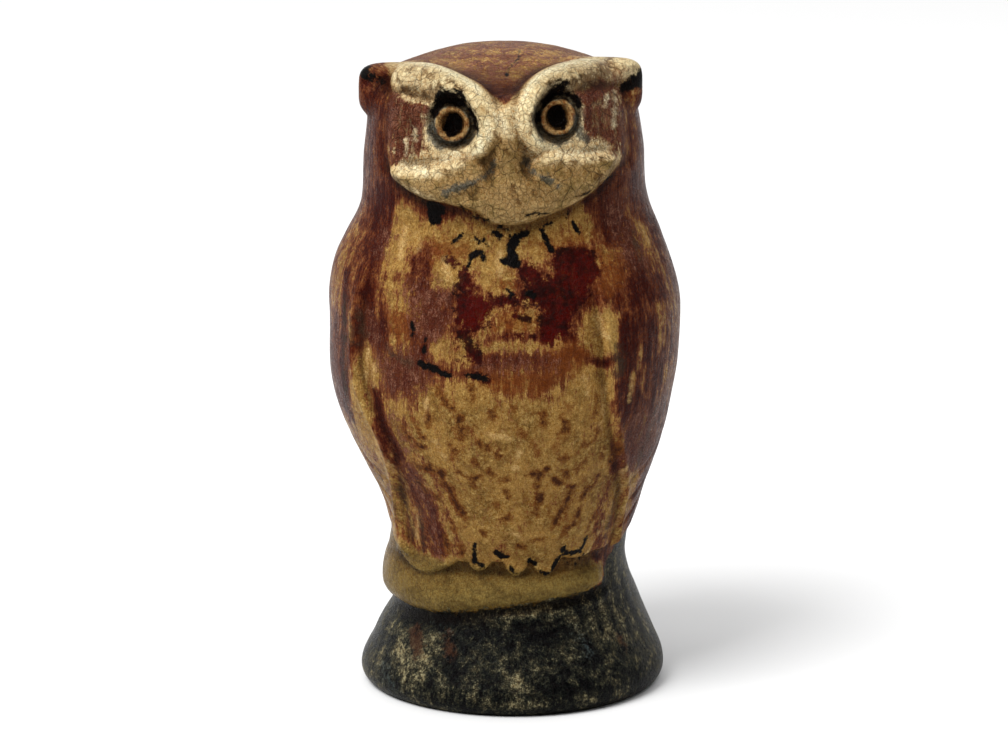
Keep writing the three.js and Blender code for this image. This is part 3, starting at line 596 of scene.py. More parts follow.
STROKES = {
    "mauve": (6, [
        (3, (-40, 116), (-39, 104)), (2.2, (-40, 96), (-38, 80), (-36, 70)), (2, (54, 180), (55, 168)),
        (2, (-36, 66), (-32, 60)), (2.4, (-72, 140), (-70, 124))]),
    "rust": (5, [
        (2, (-24, 179), (-19, 180)), (1.6, (-19, 176), (-16, 174)), (1.4, (9, 108), (12, 104)),
        (1.4, (20, 110), (17, 106)), (1.2, (20, 102), (26, 103)), (1.4, (-7, 88), (-5, 82)),
        (1.5, (8, 84), (9, 78)), (1.4, (27, 76), (24, 70)), (1.6, (-20, 100), (-16, 106)),
        (1.4, (10, 120), (14, 119)), (1.8, (20, 118), (22, 122)), (1.3, (-32, 116), (-30, 110)),
        (1.5, (30, 92), (33, 90)), (1.5, (-10, 114), (-8, 112)), (1.2, (-21, 76), (-23, 72))]),
    "oxblood": (4, [
        (2.4, (-12.5, 172), (-13, 167)), (1.4, (-19, 175.5), (-16, 174)), (2, (-13, 150), (-12, 145), (-9, 141)),
        (1, (0, 148.8), (5, 148.6), (10, 148.4)), (1.1, (-11, 133.8), (-6, 132.8)),
        (1.4, (-14, 140.6), (-9, 140)), (1.2, (4, 156), (8, 155))]),
    "grey": (5, [
        (2.4, (36.5, 142), (38, 138), (38, 134)), (1.8, (-53, 152), (-51, 144)), (1.6, (52.5, 182), (51.5, 174)),
        (2, (-37, 201.5), (-33, 198.4), (-28, 195.6)), (1.4, (-40, 140), (-32, 137)), (1.6, (16, 150), (19, 158)),
        (1.6, (-61, 156), (-61, 128), (-63, 108)), (1.2, (-57, 150), (-56, 142)), (2.2, (-52, 84), (-49, 66)),
        (1.5, (56, 100), (56, 88)), (2, (-62, 90), (-58, 72)), (1.6, (50, 84), (47, 66)),
        (1.4, (60, 118), (59, 104)), (1.5, (-44, 78), (-42, 62))]),
    # Light: pale slip streaks, and painted highlights as pale lines along the wing edges and on the bib
    "light": (3.4, [
        (1.6, (-38, 186), (-37, 176)), (1, (-33, 184), (-31, 178)), (1.8, (-20, 175), (-18, 169)),
        (1.3, (-49.5, 139), (-51, 128)), (1.1, (-47, 134), (-47, 126)), (1.4, (31, 154), (33, 147)),
        (0.9, (-50, 106), (-49, 96), (-46.5, 86)), (1, (-53, 104), (-52, 92)), (0.9, (48, 96), (48.5, 84), (47, 76)),
        (0.9, (52, 92), (51, 80)), (0.9, (44, 72), (40, 64), (36, 58), (31, 54.6)), (1.1, (59.5, 185), (61, 178)),
        (0.8, (43.5, 131), (43.2, 122)), (1.4, (-1, 178), (-1, 171)), (1, (-26, 124), (-27, 116)),
        (1, (34, 128), (34.5, 112)), (1.2, (27, 134), (28, 126)), (0.8, (-45, 76), (-46, 64)), (0.8, (56, 78), (54, 66)),
        (1.2, (-5, 112), (2, 110)), (1.2, (5, 105), (3, 98)), (1, (-25, 108), (-23, 101)), (1, (0, 72), (4, 70))]),
    "spots": (3, [
        (1.7, (-15.5, 117), (-15.5, 111)), (1, (-18, 114), (-13, 114)), (1.2, (-20, 107.5), (-17.6, 104.6)),
        (1.5, (-4, 120.5), (-3.5, 118.5)), (1.5, (-4.5, 104.8)), (1, (-6.5, 106), (-2, 103)),
        (1.1, (-18.5, 95.6), (-15, 92.8), (-11, 94.6)), (1, (-15, 93), (-13.6, 90.5)),
        (1.7, (-26, 95), (-25, 88), (-22.6, 80)), (1.1, (-30.4, 97.4), (-27, 94)), (1.3, (-37, 97.6), (-31.6, 96)),
        (1.3, (-38, 89), (-36, 87)), (1.8, (-23, 80), (-20.8, 78.8)), (1.1, (-33, 106.4), (-30.6, 104.8)),
        (1.1, (-37, 112.6), (-35, 108)), (0.9, (-10, 130), (-10.4, 125.4)), (1.1, (-19.4, 123), (-16.6, 121)),
        (1, (-26, 118), (-26, 114)), (0.9, (-30, 112.4), (-29, 107.6)), (0.8, (-9, 108), (-9, 106.6)),
        (0.9, (-3.4, 92), (1, 93.2)), (0.9, (-4, 76.4), (-0.8, 78)), (0.8, (-2, 88.6), (-1, 86)),
        (1, (-23, 65.4), (-22, 61.6)), (1.4, (-30, 67), (-29, 61.6)), (1, (-27, 75), (-26, 71)),
        (1.1, (8.6, 95.8), (12, 95.6), (15.4, 97.6)), (1.4, (12.2, 95), (11.4, 89.6)), (1.6, (18, 92.4), (20.4, 91)),
        (1.7, (12.8, 86.4), (11.2, 81.6)), (0.9, (11, 79.6), (11, 77.6)), (1.8, (25.6, 88.4), (24.4, 84), (22.4, 79.6)),
        (1.5, (21, 78.4), (18.8, 74.6)), (1.5, (32.8, 87.4), (31.4, 84.6)), (1.3, (30.4, 78.4), (28, 74), (25, 71.6)),
        (0.9, (29.8, 100.4), (28, 97.6)), (0.8, (27, 97.6), (26, 95)), (0.7, (28, 107), (30, 105.8), (32.6, 108.6)),
        (0.7, (32.6, 109), (33.4, 111)), (1.2, (13, 118.6), (13.4, 116)), (1.3, (21, 115.4), (21, 112.4)),
        (0.7, (31.4, 124.4), (32, 120), (31.6, 116.6)), (1.3, (43.4, 103.6), (41, 97.6)), (0.8, (43, 112), (42, 106)),
        (0.9, (19, 101.4), (22, 101)), (1.1, (38.6, 76), (36, 71.6)), (0.8, (10, 68.4), (14, 69)),
        (1, (36.4, 92), (35.6, 88.6)), (0.9, (5, 114), (7, 112)), (0.8, (-12, 101), (-11, 99.6)),
        (0.9, (-22, 128), (-20.6, 125)), (0.8, (2, 123.6), (4, 122)), (0.9, (-31, 84), (-30, 80)),
        (0.8, (16, 81), (17, 78)), (0.9, (-13, 72), (-12, 70)), (0.9, (22, 96), (23, 93)),
        (0.8, (37, 104), (36.4, 100)), (0.8, (3, 66.4), (6, 65.6)), (0.8, (-7, 97), (-6, 95.4))]),
    # Black: black slip dabs on the bib and breast, and black painted shade under the hem's feather ends over the roll
    "black": (1.6, [
        (2.5, (-28, 194.6), (-27, 190)), (1.2, (-25.6, 195.4), (-24, 193)), (0.9, (-16, 184.6), (-18.6, 181.6)),
        (0.9, (-10.6, 183.4), (-9, 181.4)), (0.8, (-8, 182.6), (-6.4, 181)), (0.8, (-12, 172.4), (-11, 176.6), (-8, 178.2)),
        (0.9, (-8, 178.2), (-6.6, 175.6)), (0.7, (-11.6, 177), (-10, 178.6)), (1.1, (-4.4, 185.6), (-1, 184)),
        (0.9, (-2, 187.6), (1, 186.6), (2.4, 183.6)), (1.3, (8, 185), (5, 184)), (2.1, (4, 183.4), (2.8, 179.6), (3.4, 176)),
        (1.6, (0.6, 175), (5, 174.4)), (0.8, (1.6, 165.4), (3.4, 163)), (1.2, (8.6, 164), (9.4, 163)),
        (1.3, (14.2, 185.8), (14.6, 183)), (0.9, (14.8, 183), (17, 178.6)), (0.8, (26, 189), (27.4, 185)),
        (0.6, (24.6, 193), (23.8, 190)), (0.5, (15, 187.6), (18, 189)), (1.5, (-27.6, 137.6), (-23, 135.6)),
        (1.1, (-23, 135.4), (-18, 133.6)), (1, (-12, 134), (-6, 133)), (1.1, (-16.4, 66), (-15.6, 59)),
        (0.7, (-15.4, 58.4), (-11, 57)), (1.2, (-6.4, 63), (-3.6, 61.4)), (0.7, (-3.4, 61.4), (-0.4, 61)),
        (0.6, (0.6, 57.6), (3.4, 54.2), (6.6, 54.4)), (1.3, (9.4, 59.6), (12.6, 57.6)), (0.7, (13, 57), (16, 53.8), (19.6, 54)),
        (1.1, (20.4, 55), (23.6, 60)), (1.3, (26, 61.6), (33.6, 61.6)), (0.9, (34, 62), (35.4, 67)),
        (1, (24, 61), (25, 65)), (0.6, (27, 58.4), (29.4, 56)), (0.6, (31, 57.6), (33.6, 55)), (0.6, (36, 60), (35.4, 57)),
        (0.7, (-31, 152), (-30.6, 147.6)), (0.7, (-26, 147), (-27, 142))]),
    "patch": (6, [(3.4, (-51, 26), (-44, 21)), (2.4, (-32, 27), (-28, 22)), (1.6, (52, 24), (53, 20))]),
    "steel": (7, [(4, (28, 30), (33, 21)), (4, (-62, 12), (-50, 6)), (2.4, (-42, 32), (-31, 28))]),
}
FOOT_LIGHT = [
    (3.4, (-42, 24), (-38, 15)), (3, (-4, 16), (5, 11)), (2, (8, 15), (15, 18)), (2.2, (-12, 5), (0, 4.4), (12, 5)),
    (2.4, (26, 7), (32, 4)), (3.6, (-56, 20), (-46, 11)), (1.6, (27, 38), (29.4, 31)), (1.8, (19, 39.6), (23, 36)),
    (1.2, (3, 36.6), (9, 37)), (1.4, (-11, 34), (-4, 34)), (1.4, (-27, 1.2), (-20, 1)), (1.6, (36, 42), (38, 24)),
    (1.4, (45, 46), (47, 26)), (1.8, (54, 50), (57, 22)), (1.4, (64, 48), (67, 18)), (1.4, (41, 16), (44, 8)),
    (1.8, (-70, 24), (-66, 12)), (1.4, (-31, 17), (-29, 12)), (1.4, (36, 50), (40, 44)), (1.5, (76, 44), (79, 20)),
]
FOOT_DARK = [
    (4.4, (-25, 25), (-22, 17)), (2.6, (-60, 33), (-40, 32), (-20, 33.4)), (3.4, (2, 31), (14, 29), (24, 28)),
    (3, (-11, 17), (-6, 10)), (3.4, (13, 22), (21, 16)), (2.6, (15, 10), (30, 11)), (1.8, (-26, 3), (0, 1.4), (38, 3)),
    (2, (33, 36), (35, 18)), (1.4, (41, 44), (43, 28)), (1.6, (50, 46), (52, 30)), (1.6, (60, 46), (62, 26)),
    (1.6, (-34, 12), (-30, 7)), (2, (-12, 30), (-3, 27)), (2.6, (44, 12), (60, 6)), (1.6, (71, 44), (73, 24)),
]
paint = {}
for name, (soft, strokes) in STROKES.items():
    paint[name] = brushed(around, strokes, soft, -1, 2)
for name, (soft, outlines) in AREAS.items():
    for outline in outlines:
        paint[name] = np.maximum(paint[name], filled(around, outline, soft, -1, 2))
paint["mottle"] = brushed(around, FOOT_LIGHT, 5) - brushed(around, FOOT_DARK, 5)

# The same slips, painted highlights and painted shade on the face, the ears and the brows, in x and z
CREAM = [
    (-41, 236.6), (-40.4, 241), (-33, 243), (-24, 243.4), (-16, 241.4), (-9, 238.4), (-3, 235), (0.4, 232.6),
    (3, 235), (7, 238.6), (13, 241.6), (22, 243.8), (31, 244.4), (38.6, 244), (40.4, 241.4), (45, 238),
    (46, 225), (45, 214), (41.5, 208.6), (35.6, 202.6), (27.1, 196.8), (15.6, 192), (5.9, CHIN),
    (-4.4, CHIN + 0.4), (-10, 193.4), (-20, 196.4), (-29.3, 198), (-37.2, 202), (-41.6, 206), (-43, 215), (-43, 227),
]
# Khaki: drab slip, and painted shade, on the muzzle and under the cheek pads
KHAKI_AND_SHADE = [
    (-5, 222), (5, 222), (8, 215), (14, 213), (22, 212), (34, 212.4), (41, 210), (38, 203), (28, 197),
    (16, 191), (0, 188), (-10, 191), (-22, 197), (-34, 201.4), (-39, 205.4), (-30, 206.4), (-22, 207.4),
    (-17, 210.4), (-12, 215), (-7, 217),
]
TEMPLE_SLIP = [
    [(-42, 235), (-33, 233), (-28, 232), (-26.6, 229.6), (-29, 226), (-29.6, 219), (-29.4, 216.4), (-32, 213),
     (-36, 211.6), (-40, 209.6), (-42.4, 218)],
    [(25, 235.6), (33, 238), (40, 239), (44, 236), (45, 222), (43, 213), (40, 211.6), (38, 217.4), (33, 219),
     (30, 219.4), (29.6, 226), (29, 232)],
]
FACE = {
    "brown": (2.5, [
        (2.2, (24, 234.6), (29, 234), (35, 236.4)), (1.6, (30.6, 231), (31, 225)), (1.4, (-31, 232), (-27, 230)),
        (1.2, (-41.6, 234), (-42, 222), (-41, 210)), (1.2, (44.6, 236), (45, 224), (44, 213))]),
    # Light on the face: painted highlights along the brow rolls, the cheek tops, the top of the muzzle, the temples and
    # the ears
    "light": (2.6, [
        (1.4, (-38, 241.4), (-30, 242.2), (-22, 241), (-14, 238.4), (-9, 236)), (1.3, (-9, 222), (-8.4, 218), (-12, 215)),
        (2, (-22, 213.4), (-18, 215)), (1.2, (-5.6, 227), (-5.4, 221)), (1.3, (6, 233), (9, 237.4), (14, 240), (22, 241.6)),
        (1.2, (24, 242), (32, 242.4), (38, 243)), (1.2, (11, 222.6), (14, 218.4), (19, 217)),
        (1.8, (20, 215.6), (28, 215.4), (37, 216.2)), (1.6, (-37, 209.6), (-32, 209.6), (-28, 208.4)),
        (2, (-2, 230), (0, 225)), (1.2, (4.4, 232), (5, 226)), (1, (-34, 238), (-31, 237)), (0.9, (41, 235), (42, 229), (41.6, 223)),
        (0.7, (38.4, 235), (38, 231)), (0.8, (-34, 224), (-33.4, 219)), (0.7, (-37, 219), (-36, 214)),
        (0.6, (-57.4, 240.6), (-57.6, 237), (-56.4, 234)), (0.6, (-53, 243.4), (-49, 243.4)), (1, (-56, 233), (-54.4, 231))]),
    "mottled": (3.4, [
        (1.6, (-37, 236.4), (-33, 235.4)), (2.2, (-28, 235), (-23, 235.6)), (1, (-20, 238), (-14, 236)),
        (0.7, (-35, 239.4), (-30, 239.8), (-25, 239)), (0.7, (-38, 238), (-33, 234.6), (-30, 234)),
        (1.8, (17, 237), (24, 237.4), (30, 238.4), (37, 239.4)), (1.2, (33, 240.6), (38, 241.6)), (1, (-12, 231), (-9.6, 227)),
        (1.4, (32, 206.6), (34.6, 206.6)), (1, (27, 199.6), (30.4, 200.6)), (0.9, (34, 203), (37, 203.6), (40, 205.4)),
        (0.7, (-4, 224), (0, 219), (2, 213)), (0.6, (-10, 218.6), (-17, 211)), (0.6, (-32, 210.8), (-26, 209.4), (-20, 209.6)),
        (0.7, (14, 234), (10, 229), (9.6, 223)), (0.6, (20, 212.4), (30, 212.6), (38, 212.6)), (0.7, (3, 204), (5, 198))]),
    "blue": (3, [
        (1.2, (-5, 209), (-9, 206.4), (-13, 204.8)), (1.7, (-14, 204), (-18, 202.6), (-20.6, 201.8)), (0.8, (-3, 213), (-4.6, 210)),
        (1.1, (8, 212.6), (9.6, 210), (13, 207.6), (17, 206)), (1.1, (19, 203.8)), (1.8, (-27.6, 224), (-27.6, 220)),
        (2, (-26, 219), (-23, 217.6)), (1, (-20, 218.4), (-14, 219.4), (-11, 222)), (0.8, (-10, 227), (-9.6, 223)),
        (1.1, (11.6, 231), (12, 225), (14, 220.6)), (1.6, (27.6, 227), (28, 221.6), (30, 219.4)), (1, (24, 219.4), (18, 219))]),
    "grey": (3, [(1.8, (-39, 204), (-34, 199.6), (-29, 197)), (0.8, (45, 213), (43, 208))]),
    # Black on the face: black slip and painted shade in the eye sockets under the brows, and painted shade under the
    # chin, in the ear hollows and under the right cheek
    "black": (2, [
        (1.6, (-26, 229.6), (-24.4, 233), (-21.6, 235)), (1.8, (-20.6, 234.6), (-15, 233.4)), (1, (-12.6, 231.4), (-10.8, 228), (-10.2, 224.6)),
        (1.4, (15, 233.6), (18, 236.4), (22, 237)), (1, (22, 236.6), (26, 235), (28.4, 232)), (0.6, (13.4, 231), (12.4, 227)),
        (0.6, (-16, 195.6), (-13, 193), (-10, 191)), (0.7, (-10, 191.4), (-6, 190)), (0.5, (8, 192.6), (11, 193.4), (16, 193)),
        (2, (-54, 240), (-50, 240.6), (-46, 238.6)), (1.1, (-56, 238.4), (-52, 238)), (1.7, (45, 237), (48, 239.6), (51.6, 241)),
        (1.2, (44, 235.6), (46, 236.6)), (0.7, (28, 199.6), (30, 200.2)), (0.6, (37, 203.4), (40, 205))]),
}
facial = filled(flat, CREAM, 2.5) * front[near]
brown[near] = over(brown[near], -0.6, facial)
face_brown = brushed(flat, FACE["brown"][1], FACE["brown"][0])
for outline in TEMPLE_SLIP:
    temple = filled(flat, outline, 4, -1, 2)
    paint["mauve"][near] = np.maximum(paint["mauve"][near], temple)
    brown[near] = over(brown[near], 0.5, np.clip(temple, 0, 1))
brown[near] = over(brown[near], 0.75, face_brown)
paint["mottled"] = on_face(brushed(flat, FACE["mottled"][1], FACE["mottled"][0], -1, 2), -1)
paint["blue"] = on_face(brushed(flat, FACE["blue"][1], FACE["blue"][0], -1, 2), -1)
for name in ("light", "grey", "black"):
    soft, strokes = FACE[name]
    paint[name][near] = np.maximum(paint[name][near], brushed(flat, strokes, soft, -1, 2))
pupil = brushed(flat, [(3.5, (-19.4, 226.2), (-19.6, 224.4)), (3.6, (20, 229), (20.8, 227))], 1.2, -1, 2)
paint["black"][near] = np.maximum(paint["black"][near], pupil)
paint["cream"] = on_face(facial)
paint["khaki"] = on_face(filled(flat, KHAKI_AND_SHADE, 6))
paint["lid"] = on_face(np.clip(0.5 + (9.4 - eye_reach) / 2, 0, 1))
paint["iris"] = on_face(np.clip(0.5 + (6.4 - eye_reach) / 1.6, 0, 1))
paint["eye_line"] = on_face(bell(eye_reach - 6.9, 0.8) + 0.5 * bell(eye_reach - 4.6, 0.5))

# The crown is mauve over tan, brushed along the brows
CROWN_TAN = [
    (2, (8, -28), (14, -18), (22, -8)), (1.6, (4, -34), (9, -26)), (1.8, (16, -24), (26, -14)), (1.6, (-6, -22), (-1, -10)),
    (1.4, (-14, -26), (-24, -16)), (1.6, (4, -18), (10, -6)), (1.4, (-10, -12), (-18, -2)), (1.4, (24, -22), (33, -16)),
    (1.3, (-20, -28), (-29, -22)), (1.6, (12, -4), (18, 6)), (1.6, (-4, 2), (-10, 14)), (1.5, (20, 8), (26, 18)),
]
crown_top = step(238.5, 243, plain[:, 2])
tan = brushed(plain[:, :2], CROWN_TAN, 7) * crown_top
brown = over(brown, 0.42, crown_top * (1 - np.clip(paint["cream"], 0, 1)))
brown = over(brown, 0.12, 0.85 * tan)
paint["mauve"] = np.maximum(paint["mauve"], np.where(crown_top > 0.01, 0.75 * crown_top - 0.5 * tan, -1))
paint["black"] = np.maximum(paint["black"], brushed(
    plain[:, :2], [(0.4, (0.6, -38), (2, -30), (5, -22), (6, -12))], 2, -1, 2) * crown_top - (1 - crown_top))

# The roll is olive and ochre, and the foot dark to an uneven line
paint["olive"] = filled(around, [(-95, 62), (-30, 57.6), (0, 56), (20, 53), (40, 55), (50, 50), (20, 36),
                                 (-30, 31), (-95, 31)], 4)
brown = over(brown, -0.5, paint["olive"])
paint["brown"] = brown
foot_line = np.where(degrees < 44, roll_low, curve(degrees, [(44, 43), (60, 56), (90, 62), (130, 60), (180, 50)]))
foot_line = np.where(degrees < -100, 40, foot_line)
paint["foot"] = np.clip(0.5 + (foot_line + 0.6 - plain[:, 2]) / 3, -1, 2)

# Streaks run up the body, and on the crown along the brows
lift = step(236, 245, plain[:, 2])[:, None]
mirror = np.column_stack([abs(plain[:, 0]), plain[:, 1], plain[:, 2]])
at = plain * (1 - lift) + mirror * lift
run_of_brush = np.array([0, 0, 1]) * (1 - lift) + np.array([0.78, 0.45, 0.44]) * lift
run_of_brush /= np.linalg.norm(run_of_brush, axis=1, keepdims=True)
brush = at - 0.84 * run_of_brush * (at * run_of_brush).sum(axis=1, keepdims=True)

# Painted shade and highlight from the relief: the hollows, where the glaze pools, are marked for darkening, and the
# ridges, where the glaze runs thin, for lightening
height = ((skin - plain) * normal).sum(axis=1).reshape(len(rows), len(columns))
smooth = height.copy()
for _ in range(10):
    smooth = (smooth + np.roll(smooth, 2, 1) + np.roll(smooth, -2, 1)) / 3
    smooth[2:-2] = (smooth[2:-2] + smooth[4:] + smooth[:-4]) / 3
pool = np.clip((smooth - height) / 1.2, -1, 1).ravel()


def keep(name, values):
    """Stores a field on the mesh; the two closing points take the mean of their rows."""
    values = np.asarray(values, float).reshape(len(plain), -1)
    ends = values[:len(columns)].mean(axis=0), values[-len(columns):].mean(axis=0)
    values = np.vstack([values, *ends])
    kind = "FLOAT" if values.shape[1] == 1 else "FLOAT_VECTOR"
    field = mesh.attributes.new(name, kind, "POINT")
    field.data.foreach_set("value" if kind == "FLOAT" else "vector", values.ravel())


for name, values in {**paint, "pool": pool, "brush": brush}.items():
    keep(name, values)

# The glaze: a clear lead glaze over the slips, finely crazed and stained in the cracks.
glaze = bpy.data.materials.new("crazed_lead_glaze")
glaze.use_nodes = True
glaze.node_tree.nodes.clear()


class Field:
    """A socket of a shader. Arithmetic on fields adds Math nodes; made() adds any other node
    from its type, its settings and the values or links of its sockets."""

    tree = glaze.node_tree

    def __init__(self, socket):
        self.socket = socket

    @classmethod
    def made(cls, kind, settings, sockets, output=0):
        node = cls.tree.nodes.new("ShaderNode" + kind)
        for name, value in settings.items():
            if name == "stops":
                ramp = node.color_ramp
                while len(ramp.elements) < len(value):
                    ramp.elements.new(0.5)
                for element, (place, colour) in zip(ramp.elements, value):
                    element.position = place
                    element.color = colour
            else:
                setattr(node, name, value)
        for name, value in sockets.items():
            if isinstance(value, Field):
                cls.tree.links.new(value.socket, node.inputs[name])
            else:
                node.inputs[name].default_value = value
        return cls(node.outputs[output]) if len(node.outputs) else None

    def maths(self, operation, first, second):
        return Field.made("Math", {"operation": operation}, {0: first, 1: second})

    def __add__(self, other):
        return self.maths("ADD", self, other)

    def __abs__(self):
        return Field.made("Math", {"operation": "ABSOLUTE"}, {0: self})

    def __sub__(self, other):
        return self.maths("SUBTRACT", self, other)

    def __rsub__(self, other):
        return self.maths("SUBTRACT", other, self)

    def __mul__(self, other):
        return self.maths("MULTIPLY", self, other)

    __radd__ = __add__
    __rmul__ = __mul__


def stored(name, output="Fac"):
    """A field kept on the mesh."""
    return Field.made("Attribute", {"attribute_name": name}, {}, output)


def noise(vector, scale, detail=2.0, roughness=0.5, distortion=0.0):
    """Cloudy noise, most of it from -0.5 to 0.5."""
    cloud = Field.made("TexNoise", {"noise_dimensions": "3D"}, {
        "Vector": vector, "Scale": scale, "Detail": detail, "Roughness": roughness,
        "Distortion": distortion}, "Fac")
    return (cloud - 0.5) * 2.4


def ramped(value, a, b):
    """Smooth step of a field from 0 at a to 1 at b."""
    return Field.made("MapRange", {"interpolation_type": "SMOOTHSTEP", "clamp": True},
                      {"Value": value, "From Min": a, "From Max": b})


def blend(below, above, cover):
    """The colour above laid over the colour below by its cover."""
    return Field.made("Mix", {"data_type": "RGBA"}, {0: cover, 6: below, 7: above}, 2)


def slip(code):
    """Linear colour of a slip from its screen colour."""
    parts = [int(code[i:i + 2], 16) / 255 for i in (0, 2, 4)]
    return [v / 12.92 if v <= 0.04045 else ((v + 0.055) / 1.055) ** 2.4 for v in parts] + [1.0]


place = Field.made("TexCoord", {}, {}, "Object")
brush_place = stored("brush", "Vector")
streak = noise(brush_place, 0.42, 4.0, 0.62)
fine_streak = noise(brush_place, 1.3, 3.0, 0.6)
broad = noise(brush_place, 0.15, 2.0, 0.5)
blotch = noise(place, 80.0, 3.0, 0.55)
speck = noise(place, 300.0, 3.0, 0.6)
torn = noise(place, 300.0, 6.0, 0.72)
fleck = noise(place, 900.0, 3.0, 0.6)
grit = noise(place, 2300.0, 1.0, 0.5)
# Thin furrows left by the brush, and creases in the thick slip, where noises cross zero
furrow = ramped(abs(noise(brush_place, 0.75, 3.0, 0.6)), 0.07, 0.0)
crease = ramped(abs(noise(place, 330.0, 3.0, 0.6)), 0.06, 0.0)

# Buff ground of the breast, golden and olive, with brown bloom and pale rubbed places
ground = blend(slip("B28B50"), slip("8A6938"), ramped(blotch + 0.8 * torn, -0.45, 0.5))
ground = blend(ground, slip("BD9C62"), ramped(0.5 * blotch - 0.9 * torn + 0.5 * fleck, 0.0, 0.6) * 0.8)
ground = blend(ground, slip("6E4A20"), ramped(0.5 * fleck + 0.9 * torn - 0.3 * blotch, 0.25, 0.7) * 0.7)
ground = blend(ground, slip("5A3C1A"), crease * ramped(blotch, -0.2, 0.4) * 0.5)
olive_slip = blend(slip("7C6638"), slip("5A4826"), ramped(torn + 0.6 * blotch, -0.3, 0.5))
ground = blend(ground, olive_slip, stored("olive") * 0.9)

# Cream slip of the face, and khaki on the muzzle and under the cheeks: a drab slip that is also painted shade under the
# cheek pads
face_slip = blend(slip("F2DBB4"), slip("CBAA7C"), ramped(torn + 0.5 * blotch, -0.35, 0.5))
drab = blend(slip("B08F62"), slip("81683E"), ramped(torn + 0.6 * blotch, -0.3, 0.5))
face_slip = blend(face_slip, drab, ramped(stored("khaki") + 0.35 * blotch + 0.3 * torn, 0.15, 0.85))
mottled = ramped(stored("mottled") + 1.1 * torn + 0.3 * fleck, 0.4, 0.8)
face_slip = blend(face_slip, slip("62401F"), mottled * 0.75)
ground = blend(ground, face_slip, stored("cream"))

# Brown wash in streaks, from orange-tan where it is thin to dark brown where it is thick
wash = (stored("brown") + 0.6 * streak + 0.2 * broad + 0.4 * fine_streak + 0.55 * torn
        + 0.25 * fleck + 0.12 * grit + 0.3 * furrow)
washed = Field.made("ValToRGB", {"stops": [
    (0.0, slip("CDA070")), (0.15, slip("B9875C")), (0.3, slip("9F6C44")), (0.45, slip("845132")),
    (0.6, slip("6E3C24")), (0.75, slip("5D2C19")), (0.9, slip("4C1B0B")), (1.0, slip("3A0C04"))]}, {"Fac": wash})
colour = blend(ground, washed, ramped(wash, 0.2, 0.46))

colour = blend(colour, slip("7C4216"), ramped(stored("rust") + 1.3 * torn, 0.3, 1.1) * 0.6)

# Mauve, a milky purple-brown with paler lilac places
milky = blend(slip("4E2018"), slip("A87664"), ramped(torn + 0.7 * fine_streak + 0.3 * grit, -0.2, 0.8))
colour = blend(colour, milky, ramped(stored("mauve") + 0.8 * torn + 0.6 * fine_streak, 0.2, 1.0) * 0.7)
colour = blend(colour, slip("3E3428"), ramped(stored("grey") + 1.1 * torn, 0.2, 1.1) * 0.65)
# Pale tan slip on the body, and near white painted highlight on the face ridges
pale = blend(slip("DDB980"), slip("FFF2D4"), stored("cream"))
colour = blend(colour, pale, ramped(stored("light") + 1.1 * torn, 0.3, 1.1) * 0.75)

spotted = stored("spots") + 1.2 * torn
colour = blend(colour, slip("7A481C"), ramped(spotted, 0.1, 0.7) * 0.8)
colour = blend(colour, slip("361406"), ramped(spotted, 0.55, 1.1) * 0.85)
blood = blend(slip("4A0402"), slip("1C0201"), ramped(torn + blotch, -0.4, 0.5))
colour = blend(colour, blood, ramped(stored("oxblood") + 1.3 * torn, 0.3, 0.75) * 0.95)

# Eyes: a drab ring, a tan rim with a dark line round it
colour = blend(colour, blend(slip("9A9384"), slip("565244"), ramped(torn + fleck, -0.3, 0.5)), stored("lid"))
colour = blend(colour, slip("2A1C10"), ramped(stored("eye_line") + 0.8 * torn, 0.35, 0.9) * 0.85)
colour = blend(colour, blend(slip("B28F62"), slip("7A4A26"), ramped(torn + fleck, -0.3, 0.4)),
               ramped(stored("iris") + 0.6 * torn, 0.3, 0.7))
smoke = blend(slip("72777A"), slip("3C403E"), ramped(torn + fleck, -0.4, 0.4))
colour = blend(colour, smoke, ramped(stored("blue") + 1.3 * torn, 0.2, 0.9) * 0.8)

# Foot: blue-black glaze over the slips, broken by olive, red-brown and steel blue
mottling = (0.42 + 0.28 * stored("mottle") + 0.45 * blotch + 1.0 * torn + 0.4 * fleck + 0.3 * grit
            + 0.3 * fine_streak)
stone = Field.made("ValToRGB", {"stops": [
    (0.0, slip("010102")), (0.22, slip("0B0E0F")), (0.42, slip("22241F")), (0.6, slip("3A382E")),
    (0.78, slip("5C5747")), (1.0, slip("948B70"))]}, {"Fac": mottling})
stone = blend(stone, slip("4A2E20"), ramped(stored("patch") + 1.2 * torn, 0.35, 0.9) * 0.7)
stone = blend(stone, slip("45535C"), ramped(0.4 * stored("steel") + 0.7 * torn + 0.5 * fleck, 0.3, 0.8) * 0.7)
colour = blend(colour, stone, ramped(stored("foot") + 1.5 * torn, 0.3, 0.7))
# Black slip, and black painted shade in the eye sockets, the ear hollows and under the hem
colour = blend(colour, slip("060404"), ramped(stored("black") + 1.2 * torn, 0.3, 0.75))

# Painted shade darkens the hollows, over the glaze that pools there, and the grain lightens the ridges a little as
# painted highlight; the glaze is grainy all over
colour = blend(colour, slip("0E0704"), ramped(stored("pool"), 0.08, 0.9) * 0.55)
grain = Field.made("VectorMath", {"operation": "MULTIPLY_ADD"},
                   {0: 0.5 * fleck + 0.55 * grit - 0.25 * stored("pool"), 1: (0.55, 0.75, 0.8), 2: (0.65, 0.61, 0.5)})
colour = Field.made("VectorMath", {"operation": "MULTIPLY"}, {0: colour, 1: grain})

warp = Field.made("TexNoise", {"noise_dimensions": "3D"},
                  {"Vector": place, "Scale": 160.0, "Detail": 2.0}, "Color")
bent_place = Field.made("VectorMath", {"operation": "MULTIPLY_ADD"},
                        {0: warp, 1: (0.003, 0.003, 0.003), 2: place})


